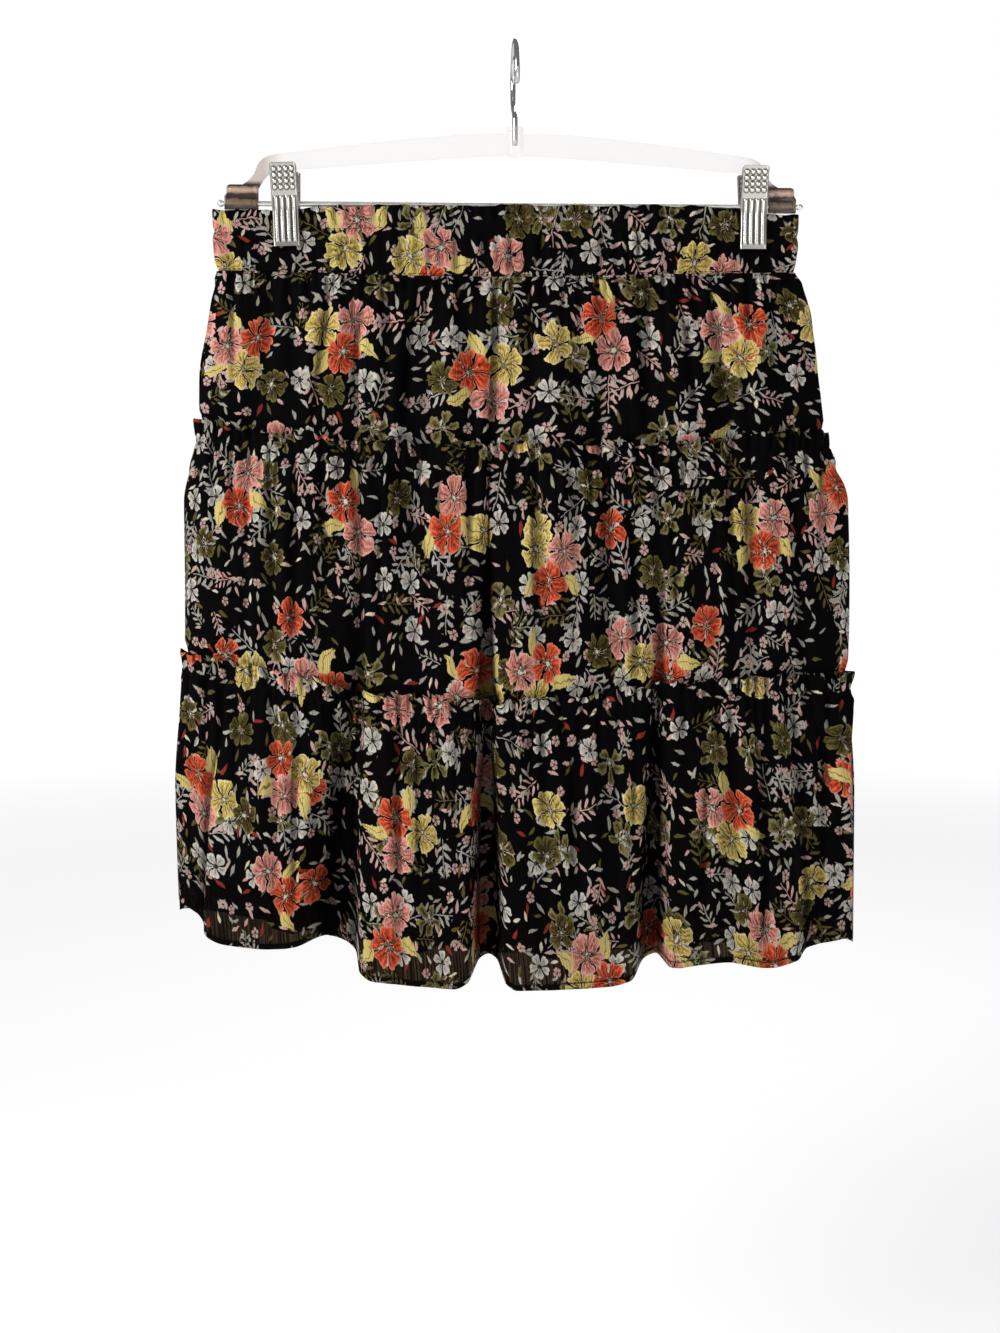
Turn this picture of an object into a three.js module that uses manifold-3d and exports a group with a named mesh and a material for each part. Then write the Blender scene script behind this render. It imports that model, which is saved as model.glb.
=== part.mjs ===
// A three-tier ruffle skirt, held by two metal clips on a clear plastic skirt hanger.
// Millimetres, +Z up, +X to the right of someone facing the skirt, whose front faces -Y.
// The origin is the inside top of the hook's crown, where a rail bears.
import * as THREE from "three";
import { mergeVertices } from "three/addons/utils/BufferGeometryUtils.js";
import Module from "manifold-3d";

const wasm = await Module();
wasm.setup();

// Cloth
const WALL = 1.5; // shell, tiers and waistband
const LINING_WALL = 1.2;
const GAP = 0.3; // between pieces that are sewn together
const HEADING = 11; // ruffle standing above each tier's stitching
const TURNING = 5; // each tier's lower edge, hidden under the next tier
const TUCK = WALL + GAP + 0.4; // how far that edge sits behind the next tier
const CASING_TOP = 13; // from the waist edge down to the stitching of the elastic's casing
const WAVES = 26; // gathers across one panel
const COLUMNS = 2 * WAVES; // a crest and a trough for each wave

// Half widths and depths of the skirt's outside at each height
const BODY = [
  { z: -96, left: 176.5, right: 169.5, front: 5.2, back: 5.2 },
  { z: -112, left: 176.5, right: 169.5, front: 5.6, back: 5.6 },
  { z: -133, left: 175, right: 168, front: 8.4, back: 8.4 },
  { z: -150, left: 178.5, right: 175, front: 12, back: 11 },
  { z: -200, left: 188, right: 183.5, front: 18, back: 15 },
  { z: -240, left: 193, right: 190, front: 22, back: 18 },
  { z: -270, left: 199.5, right: 200, front: 25, back: 21 },
  { z: -330, left: 200.5, right: 203.5, front: 30, back: 26 },
  { z: -385, left: 203, right: 204, front: 34, back: 30 },
  { z: -450, left: 208, right: 208, front: 40, back: 35 },
  { z: -560, left: 206.5, right: 210, front: 46, back: 40 },
];

// Heights of the edges and seams, at fractions of the half width
const EDGES = [
  { at: -1, waist: -99, casing: -132, seam1: -231, seam2: -371, front: -521, back: -521, lining: -508 },
  { at: -0.85, waist: -97.4, casing: -133, seam1: -236, seam2: -377, front: -536, back: -530, lining: -518 },
  { at: -0.6, waist: -96.8, casing: -134.5, seam1: -242, seam2: -386, front: -538, back: -545, lining: -528 },
  { at: -0.4, waist: -96.5, casing: -136, seam1: -246, seam2: -394, front: -554, back: -552, lining: -536 },
  { at: 0, waist: -96.5, casing: -137, seam1: -249, seam2: -399, front: -558.5, back: -559, lining: -541 },
  { at: 0.35, waist: -96.5, casing: -136, seam1: -247, seam2: -391, front: -555, back: -556, lining: -540 },
  { at: 0.6, waist: -96.8, casing: -135, seam1: -244.5, seam2: -386.5, front: -546.5, back: -551, lining: -531 },
  { at: 1, waist: -99, casing: -133, seam1: -238.5, seam2: -384.5, front: -541, back: -541, lining: -526 },
];

// Flutes: troughs that deepen down to the hem and draw the cloth in from both sides.
// top and hem are fractions of the half width, width and depth are in mm at the hem.
const FLUTES = {
  front: [
    { top: -0.84, hem: -0.9, width: 9, depth: 13, from: -300, rise: 2 },
    { top: -0.45, hem: -0.51, width: 15, depth: 31, from: -250, rise: 8 },
    { top: -0.09, hem: -0.077, width: 14, depth: 35, from: -150, rise: 12 },
    { top: 0.43, hem: 0.39, width: 14, depth: 31, from: -250, rise: 6 },
    { top: 0.8, hem: 0.835, width: 10, depth: 18, from: -300, rise: 3 },
  ],
  back: [
    { top: -0.66, hem: -0.7, width: 14, depth: 24, from: -270, rise: 4 },
    { top: -0.27, hem: -0.31, width: 15, depth: 28, from: -200, rise: 5 },
    { top: 0.14, hem: 0.1, width: 14, depth: 26, from: -260, rise: 4 },
    { top: 0.47, hem: 0.5, width: 16, depth: 28, from: -180, rise: 5 },
    { top: 0.8, hem: 0.82, width: 11, depth: 17, from: -300, rise: 3 },
  ],
};

// Creases: soft ridges (depth over 0) and troughs (under 0) between two heights
const CREASES = {
  front: [
    { at: -0.8, lean: -0.05, width: 9, depth: -4, top: -115, bottom: -330 },
    { at: -0.63, lean: -0.04, width: 12, depth: 4.5, top: -145, bottom: -420 },
    { at: -0.33, lean: 0.03, width: 10, depth: -3.5, top: -140, bottom: -330 },
    { at: -0.2, lean: -0.02, width: 13, depth: 4, top: -150, bottom: -520 },
    { at: 0.1, lean: 0.04, width: 11, depth: 4, top: -140, bottom: -380 },
    { at: 0.26, lean: -0.03, width: 9, depth: -4, top: -145, bottom: -400 },
    { at: 0.5, lean: 0.03, width: 10, depth: 3.5, top: -140, bottom: -250 },
    { at: 0.66, lean: 0.04, width: 11, depth: -4.5, top: -120, bottom: -420 },
    { at: 0.76, lean: 0.05, width: 9, depth: 3.5, top: -150, bottom: -300 },
  ],
  back: [
    { at: -0.8, lean: -0.05, width: 10, depth: -4, top: -115, bottom: -300 },
    { at: -0.5, lean: 0.03, width: 12, depth: 4, top: -145, bottom: -400 },
    { at: -0.1, lean: -0.03, width: 11, depth: 4, top: -150, bottom: -480 },
    { at: 0.05, lean: 0.02, width: 9, depth: -3.5, top: -140, bottom: -250 },
    { at: 0.32, lean: 0.03, width: 12, depth: 4, top: -145, bottom: -420 },
    { at: 0.64, lean: 0.04, width: 10, depth: -4, top: -120, bottom: -360 },
    { at: 0.74, lean: 0.03, width: 9, depth: 3, top: -260, bottom: -500 },
  ],
};

// Hanger
const HANGER_TILT = THREE.MathUtils.degToRad(0.37); // it hangs a little low on the right
const NECK_Z = -48; // top of the plastic boss that holds the hook
const ROD = { z: -93.4, radius: 1.5, left: -177.6, right: 172.6, ball: 2.1 };
const FRAME = { thickness: 4.4, blockTop: -82.5, blockBottom: -97 };
const BLOCKS = { left: { side: -1, end: 173.2, width: 20 }, right: { side: 1, end: 168.2, width: 16.5 } };
const HOOK = { wire: 1.6, inside: 18, turn: 3 };
const CLIP = { width: 15.8, sheet: 0.9, top: 21.5, tip: -25.6, bore: 2, ear: 2.7, rib: 1.5 };
const CLIPS = {
  left: { x: -136.8, lean: THREE.MathUtils.degToRad(1.5) },
  right: { x: 142.3, lean: 0 },
};
const PINCH = { reach: 26, share: 0.7, fade: 20 }; // how the clips flatten the waistband

const COLOURS = {
  cloth: { color: 0x1b1715, roughness: 0.9, metalness: 0 },
  lining: { color: 0x070708, roughness: 0.7, metalness: 0 },
  plastic: { color: 0xe9dfd2, roughness: 0.1, metalness: 0 },
  metal: { color: 0xc9ced2, roughness: 0.25, metalness: 1 },
};

const skirt = new THREE.Group();

function addMesh(name, geometry, colours, parent = skirt) {
  const mesh = new THREE.Mesh(geometry, new THREE.MeshStandardMaterial(colours));
  mesh.name = name;
  parent.add(mesh);
  return mesh;
}

// The value of one column of a table at x, on a curve that never overshoots its rows
function along(table, key, column, x) {
  const rising = table[table.length - 1][key] > table[0][key] ? table : [...table].reverse();
  const last = rising.length - 1;
  const xs = rising.map((row) => row[key]);
  const ys = rising.map((row) => row[column]);
  if (x <= xs[0]) return ys[0];
  if (x >= xs[last]) return ys[last];
  const slope = (i) => (ys[i + 1] - ys[i]) / (xs[i + 1] - xs[i]);
  const tangent = (i) => {
    if (i === 0) return slope(0);
    if (i === last) return slope(last - 1);
    const [a, b] = [slope(i - 1), slope(i)];
    return a * b > 0 ? (2 * a * b) / (a + b) : 0;
  };
  const i = xs.findIndex((_, n) => x < xs[n + 1]);
  const span = xs[i + 1] - xs[i];
  const t = (x - xs[i]) / span;
  return (
    ys[i] * (1 + 2 * t) * (1 - t) ** 2 +
    ys[i + 1] * t * t * (3 - 2 * t) +
    span * (tangent(i) * t * (1 - t) ** 2 - tangent(i + 1) * t * t * (1 - t))
  );
}

const edge = (name, at) => along(EDGES, "at", name, at);
const bell = (distance, width) => Math.exp(-((distance / width) ** 2));
const ease = (t) => THREE.MathUtils.smoothstep(t, 0, 1);

// Across a panel: s runs evenly from -1 to 1 along the cloth, and closes up towards the side seams
const across = (s) => s * (1.18 - 0.18 * s * s);

// How far a flute has opened at height z, from 0 to 1
const opened = (flute, z) => ease((flute.from - z) / (flute.from + 560)) ** 1.2;

function halfWidth(at, z) {
  return along(BODY, "z", at < 0 ? "left" : "right", z);
}

// The share of its depth that the cloth keeps beside the clips
function unpinched(x, z) {
  const near = Math.max(...Object.values(CLIPS).map((clip) => bell(x - clip.x, PINCH.reach)));
  const low = ease((CLIP.tip + ROD.z - z) / PINCH.fade);
  return 1 - PINCH.share * near * (1 - low);
}

// A point on the outside of the skirt, for side "front" or "back"
function outside(side, s, z) {
  const sign = side === "front" ? -1 : 1;
  const at = across(s);
  const half = halfWidth(at, z);
  const round = Math.sqrt(Math.max(0, 1 - Math.abs(at) ** 2.6));
  let x = at * half;
  let depth = along(BODY, "z", side, z) * round * unpinched(x, z);
  for (const flute of FLUTES[side]) {
    const open = opened(flute, z);
    const centre = THREE.MathUtils.lerp(flute.top, flute.hem, open) * half;
    const off = at * half - centre;
    depth -= flute.depth * open * bell(off, flute.width) * Math.min(1, round * 1.6);
    x -= 0.8 * open * off * bell(off, 1.3 * flute.width) * Math.min(1, 4 * (1 - Math.abs(at)));
  }
  for (const crease of CREASES[side]) {
    const t = (crease.top - z) / (crease.top - crease.bottom);
    if (t <= 0 || t >= 1) continue;
    const centre = (crease.at + crease.lean * t) * half;
    const strength = ease(t / 0.25) * ease((1 - t) / 0.35);
    depth += crease.depth * strength * bell(at * half - centre, crease.width) * round;
  }
  return new THREE.Vector3(x, sign * (GAP / 2 + depth), z);
}

// The direction out of the cloth there, level, and straight sideways at the side seams
function outward(side, s, z) {
  if (Math.abs(s) > 0.999) return new THREE.Vector3(Math.sign(s), 0, 0);
  const step = 0.012;
  const ahead = outside(side, Math.min(1, s + step), z);
  const behind = outside(side, Math.max(-1, s - step), z);
  const along = ahead.sub(behind);
  const normal = new THREE.Vector3(along.y, -along.x, 0).normalize();
  return side === "front" ? normal : normal.negate();
}

// Columns are unevenly spaced, as gathers are, and the same on every piece
function columnAt(i) {
  const uneven = 0.22 * Math.sin(2.3 * i) + 0.12 * Math.sin(0.9 * i + 1);
  const atEnd = i === 0 || i === COLUMNS;
  return -1 + (2 * (i + (atEnd ? 0 : uneven))) / COLUMNS;
}

// The height of the gather at a column: 0 in the troughs, up to 1 on the crests
function gather(i, phase) {
  if (i % 2) return 0;
  if (i === 0 || i === COLUMNS) return 0.8;
  return 0.72 + 0.28 * Math.sin(1.9 * i + phase);
}

// A closed wall from two grids of points, rows of outer points and rows of inner points
function wallGeometry(outer, inner) {
  const [rows, columns] = [outer.length, outer[0].length];
  const positions = [...outer.flat(), ...inner.flat()].flatMap((p) => [p.x, p.y, p.z]);
  const out = (r, c) => r * columns + c;
  const within = (r, c) => rows * columns + out(r, c);
  const faces = [];
  const quad = (a, b, c, d) => faces.push(a, b, c, a, c, d);
  for (let r = 0; r < rows - 1; r++) {
    for (let c = 0; c < columns - 1; c++) {
      quad(out(r, c), out(r + 1, c), out(r + 1, c + 1), out(r, c + 1));
      quad(within(r, c), within(r, c + 1), within(r + 1, c + 1), within(r + 1, c));
    }
    quad(out(r, 0), within(r, 0), within(r + 1, 0), out(r + 1, 0));
    const e = columns - 1;
    quad(out(r, e), out(r + 1, e), within(r + 1, e), within(r, e));
  }
  for (let c = 0; c < columns - 1; c++) {
    quad(out(0, c), out(0, c + 1), within(0, c + 1), within(0, c));
    const e = rows - 1;
    quad(out(e, c), within(e, c), within(e, c + 1), out(e, c + 1));
  }
  const geometry = new THREE.BufferGeometry();
  geometry.setAttribute("position", new THREE.Float32BufferAttribute(positions, 3));
  geometry.setIndex(faces);
  return geometry;
}

// Turns a wall's faces over, for a panel that was laid out in the other direction
function turnedOver(geometry) {
  const index = geometry.getIndex();
  for (let i = 0; i < index.count; i += 3) {
    const [b, c] = [index.getX(i + 1), index.getX(i + 2)];
    index.setX(i + 1, c);
    index.setX(i + 2, b);
  }
  return geometry;
}

// One gathered panel. A row has its height at a fraction of the half width, how far it lies
// outside the body (offset) and how far its crests stand out (wave).
function panelGeometry(side, rows, phase) {
  const sign = side === "front" ? -1 : 1;
  const outer = [];
  const inner = [];
  for (const row of rows) {
    const outerRow = [];
    const innerRow = [];
    for (let i = 0; i <= COLUMNS; i++) {
      const s = columnAt(i);
      const z = row.height(across(s));
      const normal = outward(side, s, z);
      const stand = row.offset + row.wave * gather(i, phase) * unpinched(outside(side, s, z).x, z);
      const point = outside(side, s, z).addScaledVector(normal, stand);
      const within = point.clone().addScaledVector(normal, -WALL);
      const leastOut = i === 0 || i === COLUMNS ? GAP / 2 : GAP / 2 + 0.8;
      point.y = sign * Math.max(leastOut, sign * point.y);
      within.y = sign * Math.max(GAP / 2, sign * within.y);
      outerRow.push(point);
      innerRow.push(within);
    }
    outer.push(outerRow);
    inner.push(innerRow);
  }
  const geometry = wallGeometry(outer, inner);
  return side === "front" ? geometry : turnedOver(geometry);
}

// Rows of a panel that lie at distances below its top edge and above its lower one
const below = (name, drop, offset, wave) => ({ height: (at) => edge(name, at) - drop, offset, wave });
const between = (upper, lower, share, offset, wave) => ({
  height: (at) => THREE.MathUtils.lerp(edge(upper, at), edge(lower, at), share),
  offset,
  wave,
});
const tucked = (seam) => [
  below(seam, -HEADING - 5, 0, 0),
  below(seam, -HEADING, -TUCK, 0),
  below(seam, TURNING, -TUCK, 0),
];
const ruffled = (seam) => [
  below(seam, -HEADING, 0.2, 3.4),
  below(seam, 0, 0, 1.1),
  below(seam, 12, 0, 2.2),
];

function addWaistband(side, phase) {
  const rows = [
    below("waist", 0, 0, 1.5),
    below("waist", CASING_TOP, -0.5, 0.7),
    between("waist", "casing", 0.66, 0.3, 1.6),
    below("casing", -GAP / 2, -0.4, 0.6),
  ];
  addMesh(`waistband_${side}`, panelGeometry(side, rows, phase), COLOURS.cloth);
}

function addUpperTier(side, phase) {
  const rows = [
    below("casing", GAP / 2, -0.4, 0.6),
    below("casing", 10, 0, 1.8),
    below("casing", 36, 0, 0.8),
    between("casing", "seam1", 0.62, 0, 0),
    ...tucked("seam1"),
  ];
  addMesh(`tier_1_${side}`, panelGeometry(side, rows, phase), COLOURS.cloth);
}

function addMiddleTier(side, phase) {
  const rows = [
    ...ruffled("seam1"),
    below("seam1", 40, 0, 1),
    between("seam1", "seam2", 0.58, 0, 0),
    ...tucked("seam2"),
  ];
  addMesh(`tier_2_${side}`, panelGeometry(side, rows, phase), COLOURS.cloth);
}

// The hem rises a little where a flute leads the cloth inward
function hemHeight(side, at) {
  const half = halfWidth(at, -550);
  const rise = FLUTES[side].map((flute) => flute.rise * bell((at - flute.hem) * half, flute.width));
  return edge(side, at) + rise.reduce((sum, value) => sum + value, 0);
}

function addLowerTier(side, phase) {
  const toHem = (share, wave) => ({
    height: (at) => THREE.MathUtils.lerp(edge("seam2", at), hemHeight(side, at), share),
    offset: 0,
    wave,
  });
  const rows = [...ruffled("seam2"), toHem(0.28, 1), toHem(0.62, 0), toHem(1, 0)];
  addMesh(`tier_3_${side}`, panelGeometry(side, rows, phase), COLOURS.cloth);
}

// The lining hangs from the casing's seam against the upper tier, then as a plain flat tube,
// clear of the flutes
const LINING = { inset: 9, depth: 6.6, leaves: 0.14, side: 6 }; // side: short of the side seams

function liningPoint(side, s, share) {
  const sign = side === "front" ? -1 : 1;
  const at = across(s);
  const z = THREE.MathUtils.lerp(edge("casing", at) - GAP / 2, edge("lining", at), share);
  const behindTier = -(WALL + 0.4 + GAP + 0.2);
  const sewn = outside(side, s, z).addScaledVector(outward(side, s, z), behindTier);
  const reach = halfWidth(at, z) - LINING.side;
  sewn.x = THREE.MathUtils.clamp(sewn.x, -reach, reach);
  const round = Math.sqrt(Math.max(0, 1 - Math.abs(at) ** 2.6));
  const x = at * (halfWidth(at, z) - LINING.inset);
  const free = new THREE.Vector3(x, sign * (GAP / 2 + LINING.depth * round), z);
  return sewn.lerp(free, ease(share / LINING.leaves));
}

function addLining(side) {
  const sign = side === "front" ? -1 : 1;
  const outer = [];
  const inner = [];
  for (const share of [0, LINING.leaves, 0.5, 1]) {
    const outerRow = [];
    const innerRow = [];
    for (let i = 0; i <= COLUMNS; i += 2) {
      const s = columnAt(i);
      const point = liningPoint(side, s, share);
      const slope = Math.abs(across(s)) ** 8;
      const normal = new THREE.Vector3(Math.sign(s) * slope, sign * (1 - slope), 0).normalize();
      const within = point.clone().addScaledVector(normal, -LINING_WALL);
      const atSeam = i === 0 || i === COLUMNS;
      point.y = sign * Math.max(atSeam ? GAP / 2 : GAP / 2 + 0.6, sign * point.y);
      within.y = sign * Math.max(GAP / 2, sign * within.y);
      outerRow.push(point);
      innerRow.push(within);
    }
    outer.push(outerRow);
    inner.push(innerRow);
  }
  const geometry = wallGeometry(outer, inner);
  addMesh(`lining_${side}`, side === "front" ? geometry : turnedOver(geometry), COLOURS.lining);
}

// three.js meshes to manifold solids and back, for joining and cutting
function toSolid(geometry) {
  const plain = geometry.clone();
  plain.deleteAttribute("normal");
  plain.deleteAttribute("uv");
  const merged = mergeVertices(plain, 1e-4);
  return new wasm.Manifold(
    new wasm.Mesh({
      numProp: 3,
      vertProperties: new Float32Array(merged.getAttribute("position").array),
      triVerts: new Uint32Array(merged.getIndex().array),
    })
  );
}

function toGeometry(solid) {
  const mesh = solid.getMesh();
  const geometry = new THREE.BufferGeometry();
  geometry.setAttribute("position", new THREE.BufferAttribute(mesh.vertProperties, 3));
  geometry.setIndex(new THREE.BufferAttribute(mesh.triVerts, 1));
  return geometry;
}

// A cylinder along X
function crossBar(radius, length, x = 0, z = 0, sides = 14) {
  return new THREE.CylinderGeometry(radius, radius, length, sides).rotateZ(Math.PI / 2).translate(x, 0, z);
}

// The hook: up from the boss, back and over a round crown, and down to an open tip in front
function addHook() {
  const radius = HOOK.inside + HOOK.wire;
  const [start, finish] = [-52, 205].map(THREE.MathUtils.degToRad);
  const onArc = (angle) =>
    new THREE.Vector3(0, radius * Math.cos(angle), -HOOK.inside + radius * Math.sin(angle));
  const shank = [-10, -5, 0, 4.5].map((up) => new THREE.Vector3(0, 0, NECK_Z + up));
  const arc = Array.from({ length: 13 }, (_, i) => onArc(THREE.MathUtils.lerp(start, finish, i / 12)));
  const path = new THREE.CatmullRomCurve3([...shank, ...arc], false, "centripetal");
  const section = new THREE.Shape().absarc(0, 0, HOOK.wire, 0, 2 * Math.PI);
  const geometry = new THREE.ExtrudeGeometry(section, { extrudePath: path, steps: 36, curveSegments: 4 });
  const hook = addMesh("hanger_hook", geometry, COLOURS.metal);
  hook.rotation.z = THREE.MathUtils.degToRad(HOOK.turn);
}

// Half of the frame's outline, from the neck to one end block and back
function frameHalf({ side, end, width }) {
  const arm = (inset) => side * (end - inset);
  const { blockTop, blockBottom } = FRAME;
  const shape = new THREE.Shape().moveTo(0, -64).lineTo(0, NECK_Z - 4).lineTo(side * 6, NECK_Z - 4);
  shape.bezierCurveTo(side * 40, -51, side * 110, -61, arm(32), -64.5);
  shape.bezierCurveTo(arm(24), -65.5, arm(21), -68, arm(19), -73);
  shape.bezierCurveTo(arm(17.5), -78, arm(15), -80, arm(11), blockTop);
  shape.lineTo(arm(0), blockTop);
  shape.lineTo(arm(0), blockBottom);
  shape.lineTo(arm(width), blockBottom);
  shape.lineTo(arm(width), blockTop - 2);
  shape.bezierCurveTo(arm(23), -79, arm(26), -74.5, arm(33), -73.5);
  shape.bezierCurveTo(side * 110, -72, side * 40, -65, 0, -64);
  return new THREE.ExtrudeGeometry(shape, {
    depth: FRAME.thickness,
    bevelEnabled: false,
    curveSegments: 5,
  })
    .rotateX(Math.PI / 2)
    .translate(0, FRAME.thickness / 2, 0);
}

function addFrame(parent) {
  const boss = new THREE.CylinderGeometry(5, 5.6, 16, 16).rotateX(Math.PI / 2).translate(0, 0, NECK_Z - 8);
  const socket = new THREE.CylinderGeometry(HOOK.wire + GAP, HOOK.wire + GAP, 30, 14)
    .rotateX(Math.PI / 2)
    .translate(0, 0, NECK_Z - 10.3 + 15);
  const bore = crossBar(ROD.radius + GAP, 400, 0, ROD.z);
  const solid = toSolid(frameHalf(BLOCKS.left))
    .add(toSolid(frameHalf(BLOCKS.right)))
    .add(toSolid(boss))
    .subtract(toSolid(socket))
    .subtract(toSolid(bore));
  addMesh("hanger_frame", toGeometry(solid), COLOURS.plastic, parent);
}

// The rod, with a small ball pressed onto each end outside the blocks
function addRod(parent) {
  const ball = Array.from({ length: 4 }, (_, i) => {
    const angle = (i * Math.PI) / 4.6;
    return new THREE.Vector2(ROD.ball * Math.sin(angle), -ROD.ball * Math.cos(angle));
  });
  const half = (ROD.right - ROD.left) / 2 - ROD.ball;
  const lower = ball.map((p) => new THREE.Vector2(p.x, p.y - half));
  const upper = ball.map((p) => new THREE.Vector2(p.x, half - p.y)).reverse();
  const neck = (sign) => new THREE.Vector2(ROD.radius, sign * (half - ROD.ball * 0.72));
  const geometry = new THREE.LatheGeometry([...lower, neck(-1), neck(1), ...upper], 12)
    .rotateZ(-Math.PI / 2)
    .translate((ROD.left + ROD.right) / 2, 0, ROD.z);
  addMesh("hanger_rod", geometry, COLOURS.metal, parent);
}

// One plate of a clip, bent in profile, with pressed ribs on the jaw and an ear at each side.
// sign is -1 for the front plate and 1 for the back one, whose ears lie inside the front one's.
function clipPlate(sign) {
  const { width, sheet, top, tip, bore, ear, rib } = CLIP;
  const bend = [
    { z: top, y: 12.2 },
    { z: 2, y: 6.6 },
    { z: -4, y: 5.3 },
    { z: tip, y: 4.6 },
  ];
  const profile = new THREE.Shape();
  bend.forEach(({ z, y }, i) => (i ? profile.lineTo(z, y) : profile.moveTo(z, y)));
  [...bend].reverse().forEach(({ z, y }) => profile.lineTo(z, y - sheet));
  const slab = (shape, thickness, x) =>
    new THREE.ExtrudeGeometry(shape, { depth: thickness, bevelEnabled: false, curveSegments: 4 })
      .translate(0, 0, -thickness / 2)
      .rotateY(-Math.PI / 2) // the outline's first number runs up Z, and its second along Y
      .translate(x, 0, 0);
  const ribs = Array.from({ length: 4 }, (_, i) => (i - 1.5) * (width / 4.4));
  const ribShape = new THREE.Shape()
    .moveTo(-4.6, 5)
    .lineTo(-5.4, 5.8)
    .lineTo(tip + 1.2, 5.1)
    .lineTo(tip + 0.5, 4.3);
  const earShape = new THREE.Shape()
    .moveTo(9, 8.2)
    .lineTo(-3.3, 4.9)
    .lineTo(-ear, 0)
    .absarc(0, 0, ear, Math.PI, 2 * Math.PI)
    .lineTo(9, 7.7);
  const earX = sign < 0 ? width / 2 - sheet / 2 : width / 2 - 1.5 * sheet - 0.5;
  let solid = toSolid(slab(profile, width, 0));
  for (const x of ribs) solid = solid.add(toSolid(slab(ribShape, rib, x)));
  for (const x of [-earX, earX]) solid = solid.add(toSolid(slab(earShape, sheet, x)));
  solid = solid.subtract(toSolid(crossBar(bore, 2 * width)));
  const geometry = toGeometry(solid);
  return sign < 0 ? turnedOver(geometry.scale(1, -1, 1)) : geometry;
}

// The torsion spring's coil, as the plain sleeve that it fills round the rod
function springGeometry() {
  const [inner, outer, half] = [1.85, 2.6, 4.4];
  const section = [
    [inner, -half],
    [outer, -half],
    [outer, half],
    [inner, half],
    [inner, -half],
  ].map(([r, x]) => new THREE.Vector2(r, x));
  return new THREE.LatheGeometry(section, 14).rotateZ(-Math.PI / 2);
}

function addClip(side) {
  const { x, lean } = CLIPS[side];
  const clip = new THREE.Group();
  clip.position.set(x, 0, ROD.z - x * Math.tan(HANGER_TILT));
  clip.rotation.y = -lean;
  skirt.add(clip);
  addMesh(`clip_${side}_front`, clipPlate(-1), COLOURS.metal, clip);
  addMesh(`clip_${side}_back`, clipPlate(1), COLOURS.metal, clip);
  addMesh(`clip_${side}_spring`, springGeometry(), COLOURS.metal, clip);
}

// The frame and rod tilt about the hook's foot
function addHanger() {
  const pivot = new THREE.Group();
  pivot.position.z = NECK_Z;
  pivot.rotation.y = HANGER_TILT;
  const hanger = new THREE.Group();
  hanger.position.z = -NECK_Z;
  pivot.add(hanger);
  skirt.add(pivot);
  addHook();
  addFrame(hanger);
  addRod(hanger);
  addClip("left");
  addClip("right");
}

for (const [side, phase] of [
  ["front", 0],
  ["back", 2.1],
]) {
  addWaistband(side, phase);
  addUpperTier(side, phase + 0.7);
  addMiddleTier(side, phase + 1.5);
  addLowerTier(side, phase + 2.6);
  addLining(side);
}
addHanger();

export default skirt;
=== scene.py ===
"""A three-tier ruffle skirt in printed crinkle chiffon, on a clear clip hanger.

Lengths in the tables below are millimetres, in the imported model's frame: +Z up, the front
faces -Y, and the origin is the inside top of the hook. Objects are made in metres.
"""

import math

import bmesh
import bpy
import numpy as np
from mathutils import Matrix, Vector


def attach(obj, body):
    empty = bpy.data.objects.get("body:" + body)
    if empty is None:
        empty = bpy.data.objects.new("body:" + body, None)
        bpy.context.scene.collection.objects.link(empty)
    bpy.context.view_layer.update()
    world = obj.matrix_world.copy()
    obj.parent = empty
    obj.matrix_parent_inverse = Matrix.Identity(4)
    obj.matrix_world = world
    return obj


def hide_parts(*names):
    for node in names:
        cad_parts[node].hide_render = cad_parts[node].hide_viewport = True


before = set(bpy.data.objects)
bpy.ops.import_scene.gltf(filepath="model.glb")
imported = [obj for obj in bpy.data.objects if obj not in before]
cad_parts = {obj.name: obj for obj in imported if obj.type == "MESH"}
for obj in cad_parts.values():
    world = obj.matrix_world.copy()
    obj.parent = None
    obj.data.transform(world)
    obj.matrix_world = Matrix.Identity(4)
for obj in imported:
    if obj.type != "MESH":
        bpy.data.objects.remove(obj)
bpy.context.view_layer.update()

MM = 0.001
BODY_NAME = "root"
SIDES = {"front": -1, "back": 1}

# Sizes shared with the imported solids
WALL = 1.5
GAP = 0.3
HEADING = 11
TURNING = 5
TUCK = WALL + GAP + 0.4
CASING_TOP = 13

CLOTH = 0.45  # thickness of the chiffon as it is modelled
SHARP = 4  # creases narrower than this are fold lines
SEEDS = {"front": 11, "back": 211}


def rows_of(columns, *rows):
    return [dict(zip(columns.split(), row)) for row in rows]


# Half widths and depths of the skirt's outside at each height
BODY = rows_of(
    "z left right front back",
    (-96, 181, 169.5, 5.2, 5.2),
    (-112, 180.5, 169.5, 5.6, 5.6),
    (-133, 178.5, 168, 8.4, 8.4),
    (-150, 180.8, 175, 12, 11),
    (-200, 189.4, 183.5, 18, 15),
    (-240, 193, 190, 22, 18),
    (-270, 199.5, 200, 25, 21),
    (-330, 200.5, 203.5, 30, 26),
    (-385, 203, 204, 34, 30),
    (-450, 208, 208, 40, 35),
    (-560, 206.5, 210, 46, 40),
)

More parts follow.
